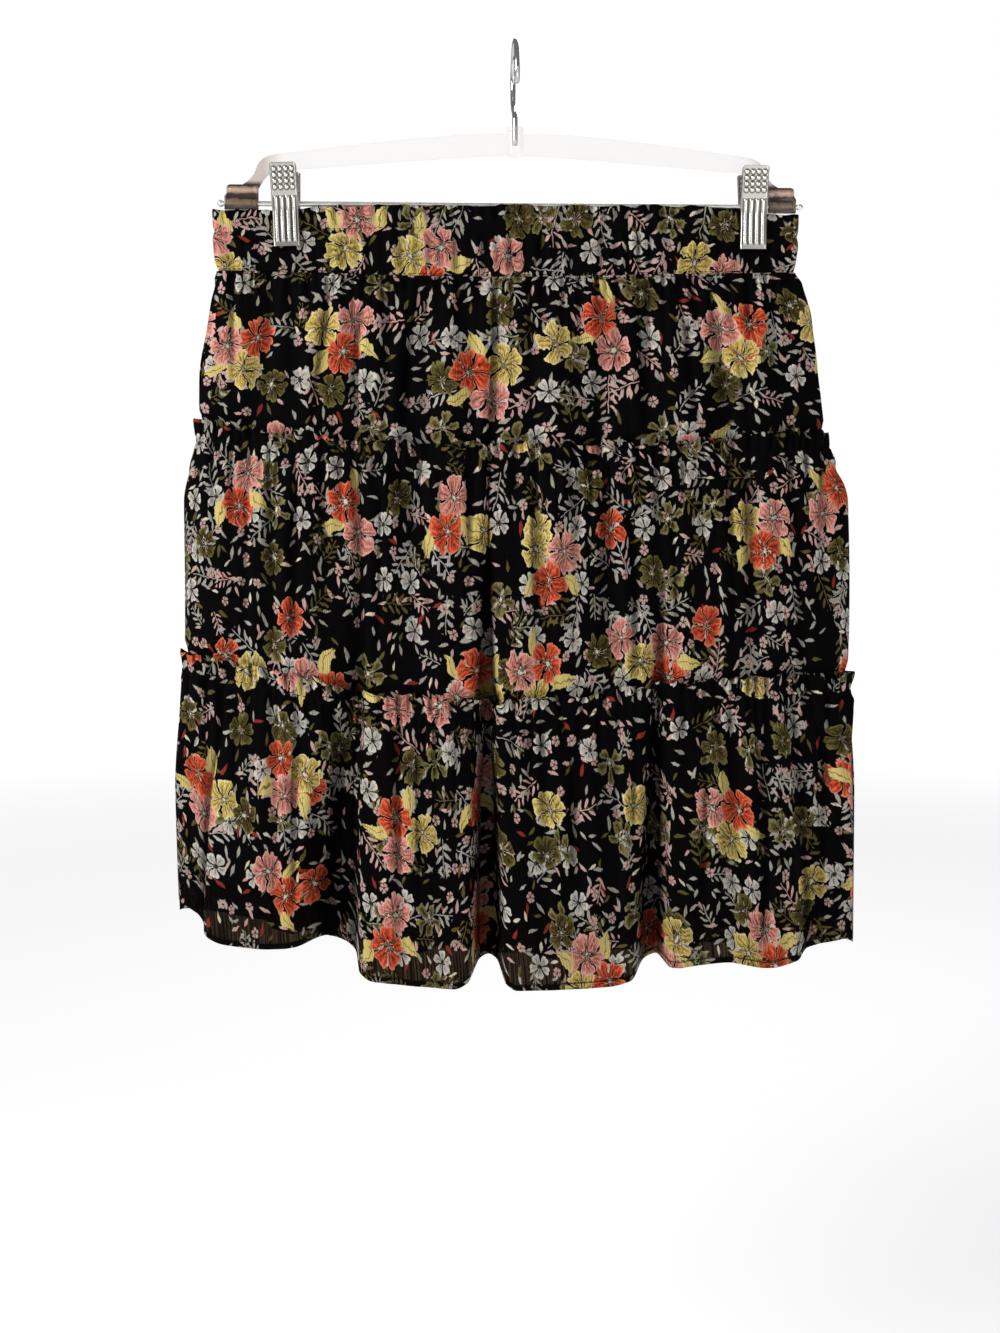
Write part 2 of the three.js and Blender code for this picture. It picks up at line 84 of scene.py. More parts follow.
# Heights of the edges and seams, at fractions of the half width
EDGES = rows_of(
    "at waist casing seam1 seam2 front back lining",
    (-1, -95.6, -132, -231, -371, -521, -521, -508),
    (-0.95, -96.9, -132.3, -232.7, -373, -526.9, -524, -511.5),
    (-0.85, -97, -133, -236, -377, -536, -530, -518),
    (-0.75, -96.1, -133.6, -238.6, -380.6, -536.9, -536.4, -522.4),
    (-0.6, -95, -134.5, -242, -386, -538, -545, -528),
    (-0.4, -94.8, -136, -246, -394, -554, -552, -536),
    (0, -94.8, -137, -249, -399, -558.5, -559, -541),
    (0.35, -94.8, -136, -247, -391, -555, -556, -540),
    (0.47, -94.8, -135.5, -246, -389, -546, -553.5, -536),
    (0.6, -95, -135, -244.5, -386.5, -543.5, -551, -531),
    (0.72, -95.6, -134.5, -242.5, -386, -548, -548, -530),
    (0.85, -97.4, -134, -240.5, -385, -545, -544.5, -528),
    (0.91, -99, -133.6, -239.7, -384.8, -543.4, -543.1, -527.2),
    (1, -99.3, -133, -238.5, -384.5, -541, -541, -526),
)

# Flutes: folds that deepen from a start down to the hem. Each has a floor that reaches left
# and right of its middle, and sides as soft as the last two numbers say.
HEM = {"open": -560, "columns": -545, "rise": -550}
FLUTE = "top hem depth start rise reach soft"
FLUTES = {
    "front": rows_of(
        FLUTE,
        (-0.84, -0.96, 15, -300, 7, (30, 9), (8, 3)),
        (-0.45, -0.51, 32, -250, 9, (17, 11), (20, 6)),
        (-0.09, -0.077, 36, -150, 13, (9, 8), (7, 6)),
        (0.43, 0.39, 32, -250, 8, (8, 8), (12, 6)),
        (0.8, 0.89, 18, -300, 4, (12, 30), (11, 8)),
    ),
    "back": rows_of(
        FLUTE,
        (-0.66, -0.7, 24, -270, 4, (10, 9), (10, 8)),
        (-0.27, -0.31, 28, -200, 5, (9, 10), (8, 12)),
        (0.14, 0.1, 26, -260, 4, (10, 8), (10, 8)),
        (0.47, 0.5, 28, -180, 5, (9, 11), (9, 12)),
        (0.8, 0.82, 17, -300, 3, (9, 12), (9, 10)),
    ),
}

# Creases: ridges (depth over 0) and troughs (under 0) between two heights. A fold line has
# a small one of the other kind beside it.
FADE = {"in": 0.25, "out": 0.35}
CREASE = "at lean width depth top bottom"
CREASES = {
    "front": rows_of(
        CREASE,
        (-0.8, -0.05, 9, -4, -115, -330),
        (-0.63, -0.04, 12, 4.5, -145, -420),
        (-0.33, 0.03, 10, -3.5, -140, -330),
        (-0.2, -0.02, 13, 4, -150, -520),
        (0.1, 0.04, 11, 4, -140, -380),
        (0.26, -0.03, 9, -4, -145, -400),
        (0.5, 0.03, 10, 3.5, -140, -250),
        (0.66, 0.04, 11, -4.5, -120, -420),
        (0.76, 0.05, 9, 3.5, -150, -300),
        (-0.645, -0.01, 3.2, 2.4, -138, -236),
        (-0.51, 0.02, 3.0, -1.8, -150, -232),
        (-0.36, -0.02, 3.4, 2.2, -136, -240),
        (-0.1, 0.0, 3.2, 2.8, -140, -392),
        (0.375, 0.01, 3.2, 2.2, -137, -243),
        (0.555, 0.02, 3.0, -1.8, -145, -235),
        (0.69, 0.02, 3.4, 2.2, -136, -240),
        (-0.8, -0.01, 3.6, -2.2, -246, -372),
        (-0.675, -0.02, 3.4, 2.8, -244, -378),
        (-0.425, -0.01, 3.2, 2.4, -252, -380),
        (-0.27, 0.02, 3.0, -1.8, -262, -350),
        (0.1, 0.02, 3.2, 2.0, -255, -360),
        (0.31, 0.01, 3.4, 2.8, -250, -390),
        (0.46, 0.01, 3.0, -2.0, -262, -384),
        (0.61, 0.0, 3.2, 2.2, -250, -370),
        (0.8, 0.01, 3.6, 2.4, -246, -378),
        (-0.66, 0.0, 3.2, 2.4, -398, -552),
        (-0.565, -0.02, 3.4, -2.2, -402, -500),
        (-0.31, 0.01, 3.2, 2.2, -402, -520),
        (0.13, 0.01, 3.2, 2.2, -405, -500),
        (0.31, 0.0, 3.4, 2.6, -400, -545),
        (0.55, -0.02, 3.2, -2.0, -402, -520),
        (0.675, 0.01, 3.4, 2.4, -396, -540),
    ),
    "back": rows_of(
        CREASE,
        (-0.8, -0.05, 10, -4, -115, -300),
        (-0.5, 0.03, 12, 4, -145, -400),
        (-0.1, -0.03, 11, 4, -150, -480),
        (0.05, 0.02, 9, -3.5, -140, -250),
        (0.32, 0.03, 12, 4, -145, -420),
        (0.64, 0.04, 10, -4, -120, -360),
        (0.74, 0.03, 9, 3, -260, -500),
    ),
}

# Waves of the gathers, the narrow ones fading soonest below the stitching
WAVES = rows_of(
    "pitch height reach seed",
    (5.6, 2.9, 12, 0),
    (11, 3.2, 34, 20),
    (21, 3.2, 90, 40),
)

# Where the clips sit, and how they press the cloth together
CLIP_X = {"left": -136.8, "right": 142.3}
PINCH = {"reach": 26, "share": 0.7, "fade": 20, "below": -119}


# The skirt's shape, close to the solids', on arrays of places


def along(table, key, column, x):
    """The value of one column at x, on a curve that never overshoots its rows."""
    rows = sorted(table, key=lambda row: row[key])
    xs = np.array([row[key] for row in rows], float)
    ys = np.array([row[column] for row in rows], float)
    slope = np.diff(ys) / np.diff(xs)
    product = slope[:-1] * slope[1:]
    total = np.where(product > 0, slope[:-1] + slope[1:], 1)
    inner = np.where(product > 0, 2 * product / total, 0)
    tangent = np.concatenate([slope[:1], inner, slope[-1:]])
    x = np.clip(x, xs[0], xs[-1])
    i = np.clip(np.searchsorted(xs, x, side="right") - 1, 0, len(xs) - 2)
    span = xs[i + 1] - xs[i]
    t = (x - xs[i]) / span
    return (
        ys[i] * (1 + 2 * t) * (1 - t) ** 2
        + ys[i + 1] * t * t * (3 - 2 * t)
        + span * (tangent[i] * t * (1 - t) ** 2 - tangent[i + 1] * t * t * (1 - t))
    )


def bell(distance, width):
    return np.exp(-((distance / width) ** 2))


def ease(t):
    t = np.clip(t, 0, 1)
    return t * t * (3 - 2 * t)


def mix(a, b, share):
    return a + (b - a) * share


def edge(name, at):
    return along(EDGES, "at", name, at)


def across(s):
    """The fraction of the half width at a share s of the cloth, whose columns are closer
    near the side seams."""
    return s * (1.18 - 0.18 * s * s)


def half_width(at, z):
    return np.where(at < 0, along(BODY, "z", "left", z), along(BODY, "z", "right", z))


def roundness(at):
    """How much of the depth is left at a fraction of the half width."""
    return np.sqrt(np.maximum(0, 1 - np.abs(at) ** 2.6))


def floor_of(flute, off, spread=1.0, soft=1.0):
    """1 on the flute's floor, falling to 0 up its sides."""
    (left, right), (soft_left, soft_right) = flute["reach"], flute["soft"]
    up_left = ease((off + left * spread) / (soft_left * soft) + 0.5)
    return up_left * ease((right * spread - off) / (soft_right * soft) + 0.5)


def unpinched(x, z):
    """The share of its fullness that the cloth keeps near the clips."""
    near = np.maximum(*(bell(x - clip, PINCH["reach"]) for clip in CLIP_X.values()))
    low = ease((PINCH["below"] - z) / PINCH["fade"])
    return 1 - PINCH["share"] * near * (1 - low)


def outside(side, s, z):
    """Points on the outside of the skirt, as an array with x, y and z last."""
    at = across(s)
    half = half_width(at, z)
    full = roundness(at)
    x = at * half
    depth = along(BODY, "z", side, z) * full * unpinched(x, z)
    for flute in FLUTES[side]:
        wide = ease((flute["start"] - z) / (flute["start"] - HEM["open"])) ** 1.2
        off = x - mix(flute["top"], flute["hem"], wide) * half
        floor = floor_of(flute, off, mix(0.3, 1, wide))
        depth = depth - flute["depth"] * wide * floor * np.minimum(1, full * 1.6)
    for crease in CREASES[side]:
        t = (crease["top"] - z) / (crease["top"] - crease["bottom"])
        ends = ease(t / FADE["in"]) * ease((1 - t) / FADE["out"])
        strength = np.where((t > 0) & (t < 1), ends, 0)
        off = x - (crease["at"] + crease["lean"] * t) * half
        width = crease["width"]
        bump = bell(off, width)
        if width < SHARP:
            bump = bump - 0.8 * bell(off - 1.7 * width, width)
        depth = depth + crease["depth"] * strength * bump * full
    return np.stack([x, SIDES[side] * (GAP / 2 + depth), z + 0 * x], axis=-1)


def outward(side, s, z):
    """The level direction out of the cloth, straight sideways at the side seams."""
    step = 0.006
    run = outside(side, np.minimum(1, s + step), z) - outside(side, np.maximum(-1, s - step), z)
    normal = np.stack([run[..., 1], -run[..., 0], 0 * run[..., 0]], axis=-1)
    normal /= np.linalg.norm(normal, axis=-1, keepdims=True)
    normal *= -SIDES[side]
    at_seam = np.abs(s) > 0.999
    normal[at_seam] = np.stack([np.sign(s), 0 * s, 0 * s], axis=-1)[at_seam]
    return normal


def wander(x, pitch, seed):
    """Smooth random values from -1 to 1 along x, one for each pitch."""
    values = np.random.RandomState(seed).uniform(-1, 1, 400)
    place = x / pitch + 150
    i = np.floor(place).astype(int)
    return mix(values[i], values[i + 1], ease(place - i))


def frill(x, pitch, seed):
    """Uneven waves from 0 to 1, about one for each pitch."""
    phase = 2 * np.pi * x / pitch + 2.2 * wander(x, 2.4 * pitch, seed)
    height = 0.68 + 0.32 * wander(x, 1.7 * pitch, seed + 1)
    return (0.5 + 0.5 * np.sin(phase)) * height


def gathers(x, down, seed):
    """How far the cloth stands out at a distance down from its stitching. The broadest
    waves begin a little below it."""
    reach = 1 + 0.6 * wander(x, 9, seed + 7)
    grip = 0.3 + 0.7 * ease(down / 6)
    total = 0
    for wave in WAVES:
        out = wave["height"] * frill(x, wave["pitch"], seed + wave["seed"])
        out = out * np.exp(-np.maximum(down, 0) / (wave["reach"] * reach))
        total = total + (out if wave is not WAVES[-1] else out * ease(down / 20))
    return grip * total


# Meshes


def crests(outer, normal):
    """0 in the hollows of the folds and 1 on their crests, by how far each point lies out
    from those beside it. The chiffon's colour is darkened by it in the hollows, as painted shade."""
    shade = 0.5
    for reach, depth in ((3, 2.2), (9, 7.0)):
        padded = np.pad(outer, ((0, 0), (reach, reach), (0, 0)), mode="edge")
        total = np.cumsum(np.pad(padded, ((0, 0), (1, 0), (0, 0))), axis=1)
        mean = (total[:, 2 * reach + 1 :] - total[:, : -2 * reach - 1]) / (2 * reach + 1)
        shade = shade + ((outer - mean) * normal).sum(axis=-1) / depth
    return np.clip(shade, 0, 1)


def link(name, mesh):
    piece = bpy.data.objects.new(name, mesh)
    bpy.context.scene.collection.objects.link(piece)
    return piece


def set_values(mesh, name, numbers):
    attribute = mesh.attributes.new(name, "FLOAT", "POINT")
    attribute.data.foreach_set("value", numbers.astype(np.float32))


def shell(name, outer, inner, uv, values, turned):
    """A closed wall from two grids of points. uv is the place on the flat cloth, in
    decimetres, and values are other numbers at each point, by name."""
    rows, columns = outer.shape[:2]
    points = np.concatenate([outer.reshape(-1, 3), inner.reshape(-1, 3)]) * MM
    index = np.arange(rows * columns).reshape(rows, columns)
    behind = index + rows * columns
    corners = (
        (index[:-1, :-1], index[1:, :-1], index[1:, 1:], index[:-1, 1:]),
        (behind[:-1, :-1], behind[:-1, 1:], behind[1:, 1:], behind[1:, :-1]),
        (index[:-1, 0], behind[:-1, 0], behind[1:, 0], index[1:, 0]),
        (index[:-1, -1], index[1:, -1], behind[1:, -1], behind[:-1, -1]),
        (index[0, :-1], index[0, 1:], behind[0, 1:], behind[0, :-1]),
        (index[-1, :-1], behind[-1, :-1], behind[-1, 1:], index[-1, 1:]),
    )
    faces = np.concatenate([np.stack(quads, axis=-1).reshape(-1, 4) for quads in corners])
    if turned:
        faces = faces[:, ::-1]
    mesh = bpy.data.meshes.new(name)
    mesh.vertices.add(len(points))
    mesh.vertices.foreach_set("co", points.astype(np.float32).ravel())
    mesh.loops.add(faces.size)
    mesh.loops.foreach_set("vertex_index", faces.astype(np.int32).ravel())
    mesh.polygons.add(len(faces))
    mesh.polygons.foreach_set("loop_start", np.arange(0, faces.size, 4, dtype=np.int32))
    mesh.polygons.foreach_set("use_smooth", np.ones(len(faces), bool))
    mesh.update(calc_edges=True)
    places = np.tile(uv.reshape(-1, 2), (2, 1))[faces.ravel()]
    layer = mesh.uv_layers.new(name="Cloth")
    layer.data.foreach_set("uv", places.astype(np.float32).ravel())
    for key, numbers in values.items():
        set_values(mesh, key, np.tile(numbers.ravel(), 2))
    return link(name, mesh)


def finish_piece(piece, slot, material, *nodes):
    piece.data.materials.clear()
    piece.data.materials.append(material)
    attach(piece, BODY_NAME)
    if nodes:
        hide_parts(*nodes)


# Materials: sums on shader sockets, written as formulas


class Value:
    """A number in a shader, which takes sums with others and with plain numbers."""

    def __init__(self, tree, socket):
        self.tree = tree
        self.socket = socket

    def math(self, operation, *others):
        node = self.tree.nodes.new("ShaderNodeMath")
        node.operation = operation
        for i, value in enumerate((self, *others)):
            if isinstance(value, Value):
                self.tree.links.new(value.socket, node.inputs[i])
            else:
                node.inputs[i].default_value = value
        return Value(self.tree, node.outputs[0])

    def __add__(self, other):
        return self.math("ADD", other)

    def __sub__(self, other):
        return self.math("SUBTRACT", other)

    def __mul__(self, other):
        return self.math("MULTIPLY", other)

    def __truediv__(self, other):
        return self.math("DIVIDE", other)

    def __abs__(self):
        return self.math("ABSOLUTE")

    def below(self, limit, soft=0.001):
        """1 under the limit, falling to 0 over a soft step."""
        return self.ramp(limit + soft, limit - soft)

    def ramp(self, start, end):
        """0 at start and 1 at end, straight between."""
        node = self.tree.nodes.new("ShaderNodeMapRange")
        node.clamp = True
        self.tree.links.new(self.socket, node.inputs["Value"])
        node.inputs["From Min"].default_value = start
        node.inputs["From Max"].default_value = end
        return Value(self.tree, node.outputs["Result"])


class Paint:
    """Builds one material's nodes."""

    def __init__(self, name):
        self.material = bpy.data.materials.new(name)
        self.material.use_nodes = True
        self.tree = self.material.node_tree
        self.tree.nodes.clear()

    def node(self, kind, settings=(), **inputs):
        """A node with its own settings, and with values or links at its sockets."""
        made = self.tree.nodes.new("ShaderNode" + kind)
        for key, value in settings:
            setattr(made, key, value)
        for key, value in inputs.items():
            self.put(value, made.inputs[key.replace("_", " ")])
        return made

    def put(self, value, socket):
        if isinstance(value, Value):
            value = value.socket
        if isinstance(value, bpy.types.NodeSocket):
            self.tree.links.new(value, socket)
        elif socket.type == "RGBA" and len(value) == 3:
            socket.default_value = (*value, 1)
        else:
            socket.default_value = value

    def value(self, socket):
        return Value(self.tree, socket)

    def vector(self, x, y):
        return self.node("CombineXYZ", X=x, Y=y).outputs["Vector"]

    def split(self, vector):
        node = self.node("SeparateXYZ", Vector=vector)
        return [self.value(socket) for socket in node.outputs]

    def vector_math(self, operation, a, b=None):
        node = self.node("VectorMath", [("operation", operation)])
        self.put(a, node.inputs[0])
        if b is not None:
            self.put(b, node.inputs[1])
        return node

    def plus(self, a, b):
        return self.vector_math("ADD", a, b).outputs["Vector"]

    def minus(self, a, b):
        return self.vector_math("SUBTRACT", a, b).outputs["Vector"]

    def times(self, a, scale):
        node = self.vector_math("SCALE", a)
        self.put(scale, node.inputs["Scale"])
        return node.outputs["Vector"]

    def length(self, a):
        return self.value(self.vector_math("LENGTH", a).outputs["Value"])

    def turned(self, vector, angle):
        turn = [("rotation_type", "Z_AXIS")]
        return self.node("VectorRotate", turn, Vector=vector, Angle=angle).outputs["Vector"]

    def noise(self, vector, scale, detail=0.0, dimensions="2D"):
        kind = [("noise_dimensions", dimensions)]
        return self.node("TexNoise", kind, Vector=vector, Scale=scale, Detail=detail)

    def cloud(self, *place):
        return self.value(self.noise(*place).outputs["Fac"])

    def drift(self, *place):
        """A random push in two directions."""
        return self.minus(self.noise(*place).outputs["Color"], (0.5, 0.5, 0.5))

    def attribute(self, name):
        return self.value(self.node("Attribute", [("attribute_name", name)]).outputs["Fac"])

    def object_place(self):
        return self.node("TexCoord").outputs["Object"]

    def blend(self, under, over, share):
        node = self.node("Mix", [("data_type", "RGBA")], Factor=share)
        colours = [socket for socket in node.inputs if socket.type == "RGBA"]
        self.put(under, colours[0])
        self.put(over, colours[1])
        return next(socket for socket in node.outputs if socket.type == "RGBA")

    def principled(self, **inputs):
        return self.node("BsdfPrincipled", **inputs).outputs[0]

    def output(self, shader):
        self.put(shader, self.node("OutputMaterial").inputs["Surface"])
        return self.material


def linear(red, green, blue):
    """A colour given as 0 to 255 on the screen, as the shader takes it."""
    return tuple(
        c / 12.92 if c <= 0.04045 else ((c + 0.055) / 1.055) ** 2.4
        for c in (red / 255, green / 255, blue / 255)
    )


# The print, in millimetres on the flat cloth

BLACK = (0.0, 0.0, 0.0)
INK = {
    "ground": linear(6, 5, 5),
    "line": linear(28, 18, 14),
    "coral": linear(200, 70, 40),
    "coral_edge": linear(222, 124, 92),
    "pink": linear(208, 130, 115),
    "pink_edge": linear(226, 168, 156),
    "yellow": linear(202, 173, 88),
    "yellow_edge": linear(224, 206, 142),
    "olive": linear(68, 58, 27),
    "olive_edge": linear(112, 104, 58),
    "star": linear(90, 80, 44),
    "star_edge": linear(128, 122, 80),
    "white": linear(166, 162, 154),
    "white_edge": linear(204, 199, 188),
    "mauve": linear(190, 155, 147),
    "grey": linear(154, 150, 139),
    "leaf": linear(204, 184, 112),
    "red": linear(128, 46, 38),
    "cream": linear(206, 196, 172),
}

# How much of the light each face of the cloth stops, and the colour of what passes
SHEER = {"from_hem": 40, "ground": 0.74, "print": 0.94, "hem": 0.97, "tint": (0.88, 0.7, 0.52)}

# Each motif's scattered cells, its size, and in what share of the cells it shows
SMALL_LEAVES = rows_of(
    "cell shift length width share colours",
    (8.8, (3, 7), 6.8, 2.1, 0.5, ("grey", "mauve", "cream", "star", "grey", "white")),
    (11.5, (61, 23), 9.0, 2.5, 0.56, ("white", "grey", "mauve", "red", "star", "grey")),
)
SPRIGS = rows_of(
    "cell shift length pitch leaf_length leaf_width share colours",
    (33, (11, 47), 22, 5.6, 6.2, 2.9, 0.56, ("grey", "mauve", "white", "star", "grey")),
    (38, (83, 5), 23, 5.0, 5.8, 2.6, 0.5, ("mauve", "grey", "grey", "star", "white")),
    (27, (45, 65), 15, 4.0, 4.4, 2.1, 0.4, ("grey", "star", "grey", "mauve")),
)
TINY = {"spread": 0.56, "square": 2.0, "vein": 0.2, "heart": "line"}
LOOSE = {"spread": 0.51, "square": 2.4, "vein": 0.35, "heart": "line"}
STAR = {"spread": 0.4, "square": 1.9}
BRIGHT = ("white", "red", "mauve", "white", "red")
LARGE = ("pink", "coral", "yellow")
LARGE_EDGES = ("pink_edge", "coral_edge", "yellow_edge")
FLOWERS = rows_of(
    "cell shift randomness hand radius share fill rim form",
    (15, (37, 71), 0.65, "small", 3.1, 0.38, BRIGHT, ("mauve",), TINY),
    (31, (5, 29), 0.6, "small", 7.1, 0.5, ("white",), ("white_edge",), LOOSE),
    (44, (57, 13), 0.55, "large", 10.4, 0.38, ("star",), ("star_edge",), STAR),
    (50, (19, 63), 0.55, "large", 9.8, 0.4, ("olive",), ("olive_edge",), {"spread": 0.56}),
    (62, (71, 33), 0.5, "large", 11.4, 0.26, LARGE, LARGE_EDGES, {}),
)
BOUQUET_LEAVES = ((-17, 12, 0.9), (16, 12, 2.2))
BOUQUET_FLOWERS = (
    (11.0, -8.8, 11.8, ("yellow", "yellow", "coral"), 0.62),
    (-11.0, -7.6, 12.0, ("pink", "pink", "yellow"), 0.84),
    (0.3, 10.4, 12.2, ("coral", "coral", "pink"), 0.84),
)
PETALS = 5


class Print(Paint):
    """Motifs of our own in scattered cells, each drawn over the last."""

    def start(self):
        uv = self.node("UVMap", [("uv_map", "Cloth")])
        self.flat = self.times(uv.outputs["UV"], 100.0)
        u, _, _ = self.split(self.flat)
        crinkle = self.drift(self.vector(u, u * 0.013), 0.55, 1.0)
        # Places pushed about as if by hand, more for the large motifs
        self.hand = {}
        for kind, push in (("large", (0.8, 1.3, 0.0)), ("small", (0.7, 0.9, 0.0))):
            pushed = self.vector_math("MULTIPLY", crinkle, push).outputs["Vector"]
            self.hand[kind] = self.plus(self.flat, pushed)
        self.wash = self.cloud(self.hand["large"], 0.5, 1.0).ramp(0.3, 0.7)
        for scale, large, small in ((0.11, 5.0, 2.0), (0.42, 1.4, 0.5)):
            shift = self.drift(self.flat, scale)
            for kind, size in (("large", large), ("small", small)):
                self.hand[kind] = self.plus(self.hand[kind], self.times(shift, size))
        self.colour = self.node("RGB").outputs[0]
        self.colour.default_value = (*INK["ground"], 1)
        self.cover = None

    def cells(self, size, shift, randomness, hand="small", flow=False):
        """Places in cells: the way from each cell's point, turned at random or along a
        flow that swings slowly over the cloth, and three random numbers for the cell."""
        place = self.times(self.plus(self.hand[hand], (*shift, 0.0)), 1 / size)
        flat = [("voronoi_dimensions", "2D")]
        voronoi = self.node("TexVoronoi", flat, Scale=1.0, Randomness=randomness, Vector=place)
        local = self.times(self.minus(place, voronoi.outputs["Position"]), size)
        chance = self.node("SeparateColor", Color=voronoi.outputs["Color"])
        picks = [self.value(socket) for socket in chance.outputs]
        angle = picks[0] * (2 * math.pi)
        if flow:
            swing = self.cloud(voronoi.outputs["Position"], size / 60)
            angle = swing * 13 + picks[0] * 0.9
        return self.turned(local, angle), picks

    def moved(self, local, x, y):
        return self.minus(local, (float(x), float(y), 0.0))

    def pick(self, chance, colours):
        """One of several colours, by a random number."""
        if len(colours) == 1:
            return INK[colours[0]]
        ramp = self.node("ValToRGB", Fac=chance)
        ramp.color_ramp.interpolation = "CONSTANT"
        stops = ramp.color_ramp.elements
        while len(stops) < len(colours):
            stops.new(0.5)
        for i, name in enumerate(colours):
            stops[i].position = i / len(colours)
            stops[i].color = (*INK[name], 1)
        return ramp.outputs["Color"]

    def lay(self, colour, mask):
        """Puts ink over what is there already."""
        self.colour = self.blend(self.colour, colour, mask)
        self.cover = mask if self.cover is None else self.cover.math("MAXIMUM", mask)

    def flower(self, local, radius, fill, rim, spread=0.59, square=2.6, vein=0.9, heart="cream"):
        """One flower of fan-shaped notched petals, with pale rims, dark veins and a small
        light heart."""
        x, y, _ = self.split(local)
        reach = self.length(local)
        turn = y.math("ARCTAN2", x) * (PETALS / (2 * math.pi))
        off = turn.math("FRACT") - 0.5
        angle = off * (2 * math.pi / PETALS)
        aside = abs(reach * angle.math("SINE"))
        notch = (aside * (-1 / (0.14 * radius)) + 1).math("MAXIMUM", 0.0) * (0.08 * radius)
        up = reach * angle.math("COSINE") + notch
        half = up * spread + 0.012 * radius
        endwise = abs((up - 0.56 * radius) / (0.46 * radius)).math("POWER", square)
        inside = ((endwise + (aside / half).math("POWER", square)) * -1 + 1) * (0.17 * radius)
        share = reach / radius
        middle = share.ramp(0.25, 0.2)
        mask = inside.ramp(-0.1, 0.22).math("MAXIMUM", middle)
        ink = self.blend(self.blend(fill, INK["line"], 0.42), fill, self.wash)
        ink = self.blend(rim, ink, inside.ramp(0.3, 1.2))
        spokes = (off * (2 * math.pi * 3)).math("COSINE")
        strokes = spokes.ramp(0.3, 0.85) * share.ramp(0.86, 0.42) * vein
        light = spokes.ramp(-0.5, -0.95) * share.ramp(0.35, 0.7) * 0.55
        ink = self.blend(ink, rim, light)
        ink = self.blend(ink, INK["line"], strokes)
        ink = self.blend(ink, INK["line"], middle * 0.9)
        stamens = (off * (2 * math.pi * 2)).math("COSINE").ramp(0.75, 0.95)
        light = (stamens * share.ramp(0.38, 0.3)).math("MAXIMUM", share.ramp(0.13, 0.08))
        return self.blend(ink, INK[heart], light), mask

    def leaf(self, local, length, width):
        """A leaf along X, centred, pointed behind and fuller before."""
        x, y, _ = self.split(local)
        t = (x / (length / 2)).math("MAXIMUM", -1.5)
        half = (t * t * -1 + 1) * (t * 0.35 + 1) * (width / 2)
        return (half - abs(y)).ramp(-0.1, 0.3)

    def sprig(self, local, length, pitch, leaf_length, leaf_width):
        """A stem along X with pairs of leaves leaning forward."""
        x, y, _ = self.split(local)
        up = abs(y)
        slid = (x - up * 0.8 + y.math("SIGN") * (pitch / 5)) / pitch
        step = (slid.math("FRACT") - 0.5) * pitch
        taper = (x / (length / 2)).math("POWER", 2.0) * -0.45 + 1
        lengthwise = (up - leaf_length / 2 - 0.4) / (taper * (leaf_length / 2))
        rounded = (lengthwise * lengthwise * -1 + 1).math("MAXIMUM", 0.0).math("POWER", 0.75)
        leaves = (rounded * (leaf_width / 2) - abs(step)).ramp(0.0, 0.3)
        stem = (up * -1 + 0.32).ramp(-0.1, 0.15)
        within = (abs(x) * -1 + length / 2).ramp(-0.2, 0.4)
        return leaves.math("MAXIMUM", stem) * within

    def draw(self):
        """All the motifs, from the small ones underneath to the large ones on top."""
        self.start()
        for row in SMALL_LEAVES:
            local, chance = self.cells(row["cell"], row["shift"], 0.66, flow=True)
            shown = self.leaf(local, row["length"], row["width"]) * chance[1].below(row["share"])
            self.lay(self.pick(chance[2], row["colours"]), shown)
        for row in SPRIGS:
            local, chance = self.cells(row["cell"], row["shift"], 0.6)
            sizes = (row[key] for key in ("length", "pitch", "leaf_length", "leaf_width"))
            shown = self.sprig(local, *sizes) * chance[1].below(row["share"])
            self.lay(self.pick(chance[2], row["colours"]), shown)
        for row in FLOWERS:
            local, chance = self.cells(row["cell"], row["shift"], row["randomness"], row["hand"])
            fill, rim = (self.pick(chance[2], row[key]) for key in ("fill", "rim"))
            ink, mask = self.flower(local, row["radius"], fill, rim, **row["form"])
            self.lay(ink, mask * chance[1].below(row["share"]))
        self.bouquets()

    def bouquets(self):
        """Up to three large flowers together, with two leaves behind them."""
        local, chance = self.cells(83, (29, 51), 0.5, "large")
        present = chance[1].below(0.84)
        for x, y, angle in BOUQUET_LEAVES:
            blade = self.turned(self.moved(local, x, y), angle)
            along_blade, aside, _ = self.split(blade)
            midrib = abs(aside).ramp(0.5, 0.15) * along_blade.ramp(6.5, 5.0) * 0.7
            leaf = self.blend(INK["leaf"], INK["line"], midrib)
            self.lay(leaf, self.leaf(blade, 18, 8.2) * present)
        for x, y, radius, colours, share in BOUQUET_FLOWERS:
            place = self.moved(local, x, y)
            fill = self.pick(chance[2], colours)
            rim = self.pick(chance[2], [f"{name}_edge" for name in colours])
            ink, mask = self.flower(place, radius, fill, rim)
            self.lay(ink, mask * chance[1].below(share))


